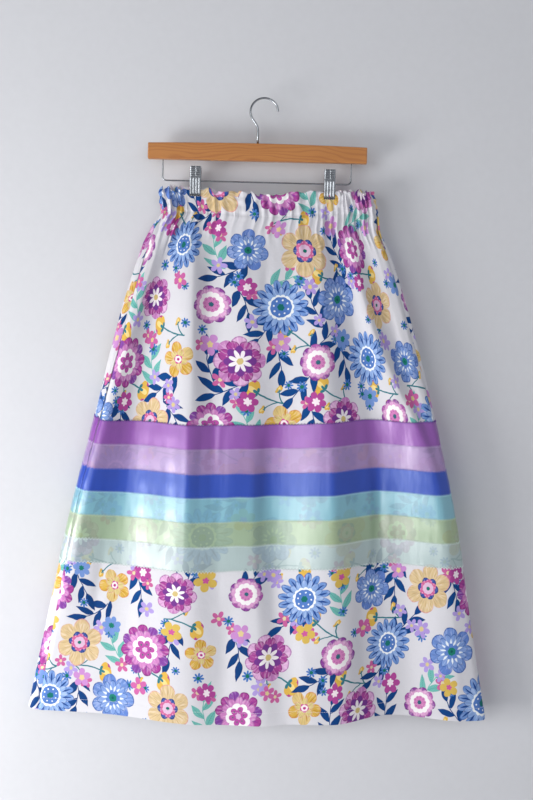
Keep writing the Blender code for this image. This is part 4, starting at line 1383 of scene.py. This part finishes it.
SPRIGS = (
    # kind, place between neighbouring flowers in parts of the lattice's spacing, turn across their
    # line, seed, and the part of the places that has one
    ("leaves", (0.5, 0.0), 0.2, 3.0, 0.50),
    ("buds", (0.25, 0.433), 1.24, 5.0, 0.48),
    ("leaves", (-0.25, 0.433), -0.86, 8.0, 0.54))
SPRIG_LOOSE = 9.0
SPRIG_LEAN = 0.8                  # spread of the sprigs' turns
LEAF_BEND = 1.1
SPRAY_BEND = 1.6
BIG_LOOSE, BIG_SEED = 15.0, 31.0
BIG_SIZE = (0.94, 0.2)            # the least and its spread
UNSURE_LINE = 3.4                 # how far the drawn lines waver, in millimetres
UNSURE_FINENESS = 0.07
FLAT_SNAP = 1000.0                # keeps the third number of a snapped place at nought
SCATTERED = (
    # kind, place as above, how far each may stray, seed, part present, least size and its spread
    ("tiny", (0.62, 0.30), 14.0, 11.0, 1.0, 0.85, 0.3),
    ("tiny", (0.34, -0.30), 14.0, 13.0, 1.0, 0.85, 0.3),
    ("tiny", (0.05, 0.66), 14.0, 17.0, 0.9, 0.85, 0.3),
    ("tiny", (-0.12, 0.40), 14.0, 19.0, 0.8, 0.85, 0.3),
    ("small", (0.0, 0.577), 8.0, 23.0, 1.0, 0.9, 0.25))


def find_places(net, scatter, place, shift, loose, seed):
    """The nearest place of a shifted lattice: where it is, its cell, and its three chances."""
    shifted = net.vector("SUBTRACT", place, (shift[0] * LATTICE, shift[1] * LATTICE, 0.0))
    found = net.group(scatter, Place=shifted, Loose=loose, Seed=seed)
    return found["Local"], found["Cell"], net.split(found["Chance"])


def print_group():
    """The whole print on the cloth's cut, as one colour."""
    scatter, sprig, spray = scatter_group(), sprig_group(), spray_group()
    big = flower_group("big flowers", FLOWERS, True)
    groups = {"small": flower_group("small flowers", SMALL_FLOWERS, False),
              "tiny": flower_group("tiny flowers", TINY_FLOWERS, False)}
    tree, net, given, end = new_group("flower print", ("Cut",), ("Colour",))
    place = net.make("ShaderNodeVectorMath", {0: given["Cut"], "Scale": 1 / MM}, "Vector",
                     operation="SCALE")
    unsure = net.vector("SUBTRACT", net.noise(place, UNSURE_FINENESS, 1.0, colour_too=True), (0.5, 0.5, 0.5))
    unsure = net.vector("MULTIPLY", unsure, (UNSURE_LINE, UNSURE_LINE, 0.0))
    place = net.vector("MULTIPLY", net.vector("ADD", place, unsure), (1.0, 1.0, 0.0))
    shade = net.blend(0.0, colour(GROUND), colour(GROUND))
    for kind, shift, lean, seed, share in SPRIGS:
        local, _, (one, two, three) = find_places(net, scatter, place, shift, SPRIG_LOOSE, seed)
        present = three < share
        turn = lean + (one - 0.5) * SPRIG_LEAN + (two > 0.5) * math.pi
        if kind == "leaves":
            drawn = net.group(sprig, Local=local, Turn=turn, Bend=(three - 0.5) * LEAF_BEND)
            paint = net.paint(two, SPRIG_COLOURS)
            teal = (two > TEAL_LEAVES[0]) * (two < TEAL_LEAVES[1])
            paint = net.blend(drawn["Vein"] * teal * 0.8, paint, colour(LEAF_VEIN_COLOUR))
            shade = net.blend(drawn["Mask"] * present, shade, paint)
        else:
            drawn = net.group(spray, Local=local, Turn=turn, Bend=(three - 0.5) * SPRAY_BEND)
            for part, paint in SPRAY_COLOURS:
                shade = net.blend(drawn[part] * present, shade, colour(paint))
    for kind, shift, loose, seed, share, least, spread in SCATTERED:
        local, _, (one, two, three) = find_places(net, scatter, place, shift, loose, seed)
        drawn = net.group(groups[kind], Local=local, Key=one, Turn=two, Grow=least + three * spread)
        shade = net.blend(drawn["Mask"] * (three < share), shade, drawn["Colour"])
    local, cell, (one, _, three) = find_places(net, scatter, place, (0.0, 0.0), BIG_LOOSE, BIG_SEED)
    column, row, _ = net.split(cell)
    order = net.maths("ROUND", column / (LATTICE / 2) + row * (4 / (LATTICE * math.sqrt(0.75))))
    key = (net.maths("FLOORED_MODULO", order, float(len(FLOWERS))) + 0.5) / len(FLOWERS)
    drawn = net.group(big, Local=local, Key=key, Turn=one, Grow=BIG_SIZE[0] + three * BIG_SIZE[1])
    shade = net.blend(drawn["Mask"], shade, drawn["Colour"])
    net.dress(end, {"Colour": shade})
    return tree


# Materials

def new_material(name):
    material = bpy.data.materials.new(name)
    material.use_nodes = True
    net = Net(material.node_tree)
    return material, net, material.node_tree.nodes["Principled BSDF"]


def cut_place(net):
    return net.make("ShaderNodeUVMap", {}, uv_map="Cut")


def object_place(net):
    return net.make("ShaderNodeTexCoord", {}, "Object")


def stretched_noise(net, place, scales, detail):
    """Noise with its own fineness along each axis."""
    return net.noise(net.vector("MULTIPLY", place, scales), 1.0, detail)


def weave(net, place, threads):
    """Height of a plain weave with this many threads to the metre."""
    x, y, _ = net.split(place)
    warp = net.maths("SINE", x * (threads * math.tau))
    weft = net.maths("SINE", y * (threads * math.tau))
    return warp * weft


def bump(net, shader, height, strength, distance):
    inputs = {"Strength": strength, "Distance": distance, "Height": height}
    net.dress(shader, {"Normal": net.make("ShaderNodeBump", inputs)})


WRONG_SIDE_PALENESS = 0.72
COTTON_THREADS = 1100.0           # to the metre
RING_RATE = 1050.0                # of the wood's growth rings, as an angle in each metre


def cotton_material(printed, inside):
    """Printed cotton; on the wrong side the print shows only as a pale ghost."""
    material, net, shader = new_material("printed cotton inside" if inside else "printed cotton")
    place = cut_place(net)
    shade = net.group(printed, Cut=place)["Colour"]
    if inside:
        shade = net.blend(WRONG_SIDE_PALENESS, shade, colour("#E9E7EC"))
    mottle = net.noise(place, 900.0, 3.0)
    shade = net.blend(0.10, shade, net.blend(mottle, colour("#B8B4C0"), colour("#FFFFFF")), "MULTIPLY")
    net.dress(shader, {"Base Color": shade, "Roughness": 0.78 + mottle * 0.14,
                       "Specular IOR Level": 0.18, "Sheen Weight": 0.04, "Sheen Roughness": 0.5})
    wrinkles = net.noise(place, 26.0, 4.0, 0.55)
    crinkles = net.noise(place, 170.0, 3.0, 0.6)
    height = wrinkles + crinkles * 0.3 + weave(net, place, COTTON_THREADS) * 0.03
    bump(net, shader, height, 0.75, 1.3 * MM)
    return material


def satin_material(ribbon, printed):
    """Satin whose gloss takes on the ribbon's own colour."""
    material, net, shader = new_material(ribbon.name + " satin")
    place = cut_place(net)
    base = colour(ribbon.colour)
    threads = stretched_noise(net, place, (60.0, 5200.0, 1.0), 2.0)
    lighter = tuple(min(1.0, value * 1.12 + 0.005) for value in base[:3]) + (1.0,)
    darker = tuple(value * 0.9 for value in base[:3]) + (1.0,)
    shade = net.blend(threads, darker, lighter)
    if ribbon.ghost > 0:
        ghost = net.group(printed, Cut=place)["Colour"]
        shade = net.blend(ribbon.ghost, shade, ghost, "MULTIPLY")
    net.dress(shader, {"Base Color": shade, "Roughness": SATIN_ROUGHNESS + threads * 0.1,
                       "Specular IOR Level": SATIN_GLOSS, "Specular Tint": colour(ribbon.gloss),
                       "IOR": ribbon.ior, "Anisotropic": 0.35, "Sheen Weight": 0.15,
                       "Sheen Roughness": 0.4})
    ripple = stretched_noise(net, place, (50.0, 16.0, 1.0), 3.0)
    streaks = stretched_noise(net, place, (210.0, 10.0, 1.0), 2.0)
    bump(net, shader, ripple + streaks * 0.3 + threads * 0.04, 0.45, 1.1 * MM)
    return material


def thread_material(name, text):
    material, net, shader = new_material(name)
    twist = net.noise(object_place(net), 2600.0, 1.0)
    base = colour(text)
    dark = tuple(value * 0.8 for value in base[:3]) + (1.0,)
    net.dress(shader, {"Base Color": net.blend(twist, dark, base), "Roughness": 0.55})
    return material


def chrome_material():
    """Chromed steel with faint smears."""
    material, net, shader = new_material("chromed steel")
    smears = net.noise(object_place(net), 160.0, 4.0)
    shade = net.blend(smears, colour("#868A8F"), colour("#B5B9BE"))
    net.dress(shader, {"Base Color": shade, "Metallic": 1.0, "Roughness": 0.16 + smears * 0.16})
    return material


def wood_material():
    """Varnished wood whose grain runs along the bar in long arches."""
    material, net, shader = new_material("varnished wood")
    place = object_place(net)
    bend = stretched_noise(net, place, (7.0, 30.0, 26.0), 2.0)
    x, y, z = net.split(place)
    rings = z + y * 0.4 + bend * 0.04 + x * x * 0.2
    bands = net.maths("SINE", rings * RING_RATE) * 0.5 + 0.5
    lines = net.soft(bands, 0.55, 1.0)
    fibres = stretched_noise(net, place, (70.0, 1600.0, 1600.0), 3.0)
    tone = stretched_noise(net, place, (9.0, 40.0, 60.0), 2.0)
    shade = net.blend(tone, colour("#A96B30"), colour("#BD8042"))
    shade = net.blend(lines * 0.5, shade, colour("#94552A"))
    shade = net.blend(fibres * 0.35, shade, colour("#965E2B"))
    net.dress(shader, {"Base Color": shade, "Roughness": 0.36 + fibres * 0.16, "Coat Weight": 0.25,
                       "Coat Roughness": 0.25})
    bump(net, shader, fibres + lines * 0.6, 0.25, 0.3 * MM)
    return material


# Room

def paint_material(name, dark, light, fineness, roughness):
    material, net, shader = new_material(name)
    grain = net.noise(object_place(net), fineness, 3.0)
    net.dress(shader, {"Base Color": net.blend(grain, colour(dark), colour(light)),
                       "Roughness": roughness})
    return material, net, shader


def wall_material():
    """Pale paint that is only there for what is in front of it."""
    material, net, shader = paint_material("pale wall", "#C6C7CB", "#CACBCF", 90.0, 0.9)
    net.dress(shader, {"Specular IOR Level": 0.1})
    clear = net.node("ShaderNodeBsdfTransparent")
    sides = net.node("ShaderNodeMixShader")
    geometry = net.node("ShaderNodeNewGeometry")
    links = material.node_tree.links
    links.new(geometry.outputs["Backfacing"], sides.inputs[0])
    links.new(shader.outputs[0], sides.inputs[1])
    links.new(clear.outputs[0], sides.inputs[2])
    links.new(sides.outputs[0], material.node_tree.nodes["Material Output"].inputs[0])
    return material


def stage_plane(name, corners, material):
    mesh = bpy.data.meshes.new(name)
    mesh.from_pydata(corners, [], [(0, 1, 2, 3)])
    mesh.materials.append(material)
    plane = link(name, mesh)
    return plane


def add_light(row):
    light = bpy.data.lights.new(row.name, "AREA")
    light.shape = "DISK"
    light.size = row.size
    light.energy = row.power
    light.color = row.tint
    item = bpy.data.objects.new(row.name, light)
    item.location = row.place
    direction = np.array(row.target) - np.array(row.place)
    item.rotation_euler = (math.acos(-direction[2] / np.linalg.norm(direction)), 0.0,
                           math.atan2(direction[1], direction[0]) - math.pi / 2)
    item.visible_glossy = row.mirrored
    bpy.context.scene.collection.objects.link(item)


def build_world():
    """A soft room: the pale walls on the right light the shade that the windows leave."""
    world = bpy.data.worlds.new("soft room")
    world.use_nodes = True
    net = Net(world.node_tree)
    background = world.node_tree.nodes["Background"]
    x, y, z = net.split(net.make("ShaderNodeTexCoord", {}, "Generated"))
    side = net.soft(x * -1.0 + z * 0.2, ROOM_TURN[0], ROOM_TURN[1])
    net.dress(background, {"Color": net.blend(side, colour(ROOM_RIGHT), colour(ROOM_LEFT)),
                           "Strength": ROOM_STRENGTH})
    bpy.context.scene.world = world


def build_room():
    reach, top, front = 4.0, 2.5, -5.0
    wall = stage_plane("wall", [(-reach, WALL_Y, FLOOR_Z), (reach, WALL_Y, FLOOR_Z),
                                (reach, WALL_Y, top), (-reach, WALL_Y, top)], wall_material())
    wall.visible_shadow = False
    stage_plane("floor", [(-reach, front, FLOOR_Z), (reach, front, FLOOR_Z), (reach, -front, FLOOR_Z),
                          (-reach, -front, FLOOR_Z)],
                paint_material("pale floor", "#D2D2D4", "#DADADC", 60.0, 0.85)[0])
    for row in LIGHTS:
        add_light(row)
    build_world()


def build_camera():
    camera = bpy.data.cameras.new("camera")
    camera.lens = CAMERA_LENS
    camera.sensor_fit = "AUTO"
    camera.sensor_width = 36.0
    camera.dof.use_dof = False
    item = bpy.data.objects.new("camera", camera)
    item.location = CAMERA_PLACE
    item.rotation_euler = (math.pi / 2, math.radians(CAMERA_ROLL), 0.0)
    bpy.context.scene.collection.objects.link(item)
    bpy.context.scene.camera = item
    bpy.context.scene.view_settings.view_transform = "Standard"


def build_skirt(printed):
    cottons = [cotton_material(printed, False), cotton_material(printed, True)]
    cotton_thread = thread_material("cotton thread", "#EDEBF0")
    satins = [satin_material(ribbon, printed) for ribbon in RIBBONS]
    threads = [thread_material(ribbon.name + " thread", ribbon.thread) for ribbon in RIBBONS]
    threads.append(thread_material("last thread", LAST_THREAD))
    for panel in (FRONT, BACK):
        cloth = build_panel(panel, cottons)
        sewing = build_sewing(panel, (cotton_thread, threads))
        for number, ribbon in enumerate(RIBBONS):
            build_ribbon(panel, number, ribbon, satins[number])


def build_hanger():
    chrome = chrome_material()
    build_hook(chrome)
    build_rail(chrome)
    for place, centre_x in CLIPS:
        for side in (-1, 1):
            build_jaw(place, centre_x, side, chrome)
        build_spring(place, centre_x, chrome)
    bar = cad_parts["hanger_bar"]
    wood = wood_material()
    for slot in bar.material_slots:
        slot.material = wood


build_camera()
build_room()
build_hanger()
build_skirt(print_group())
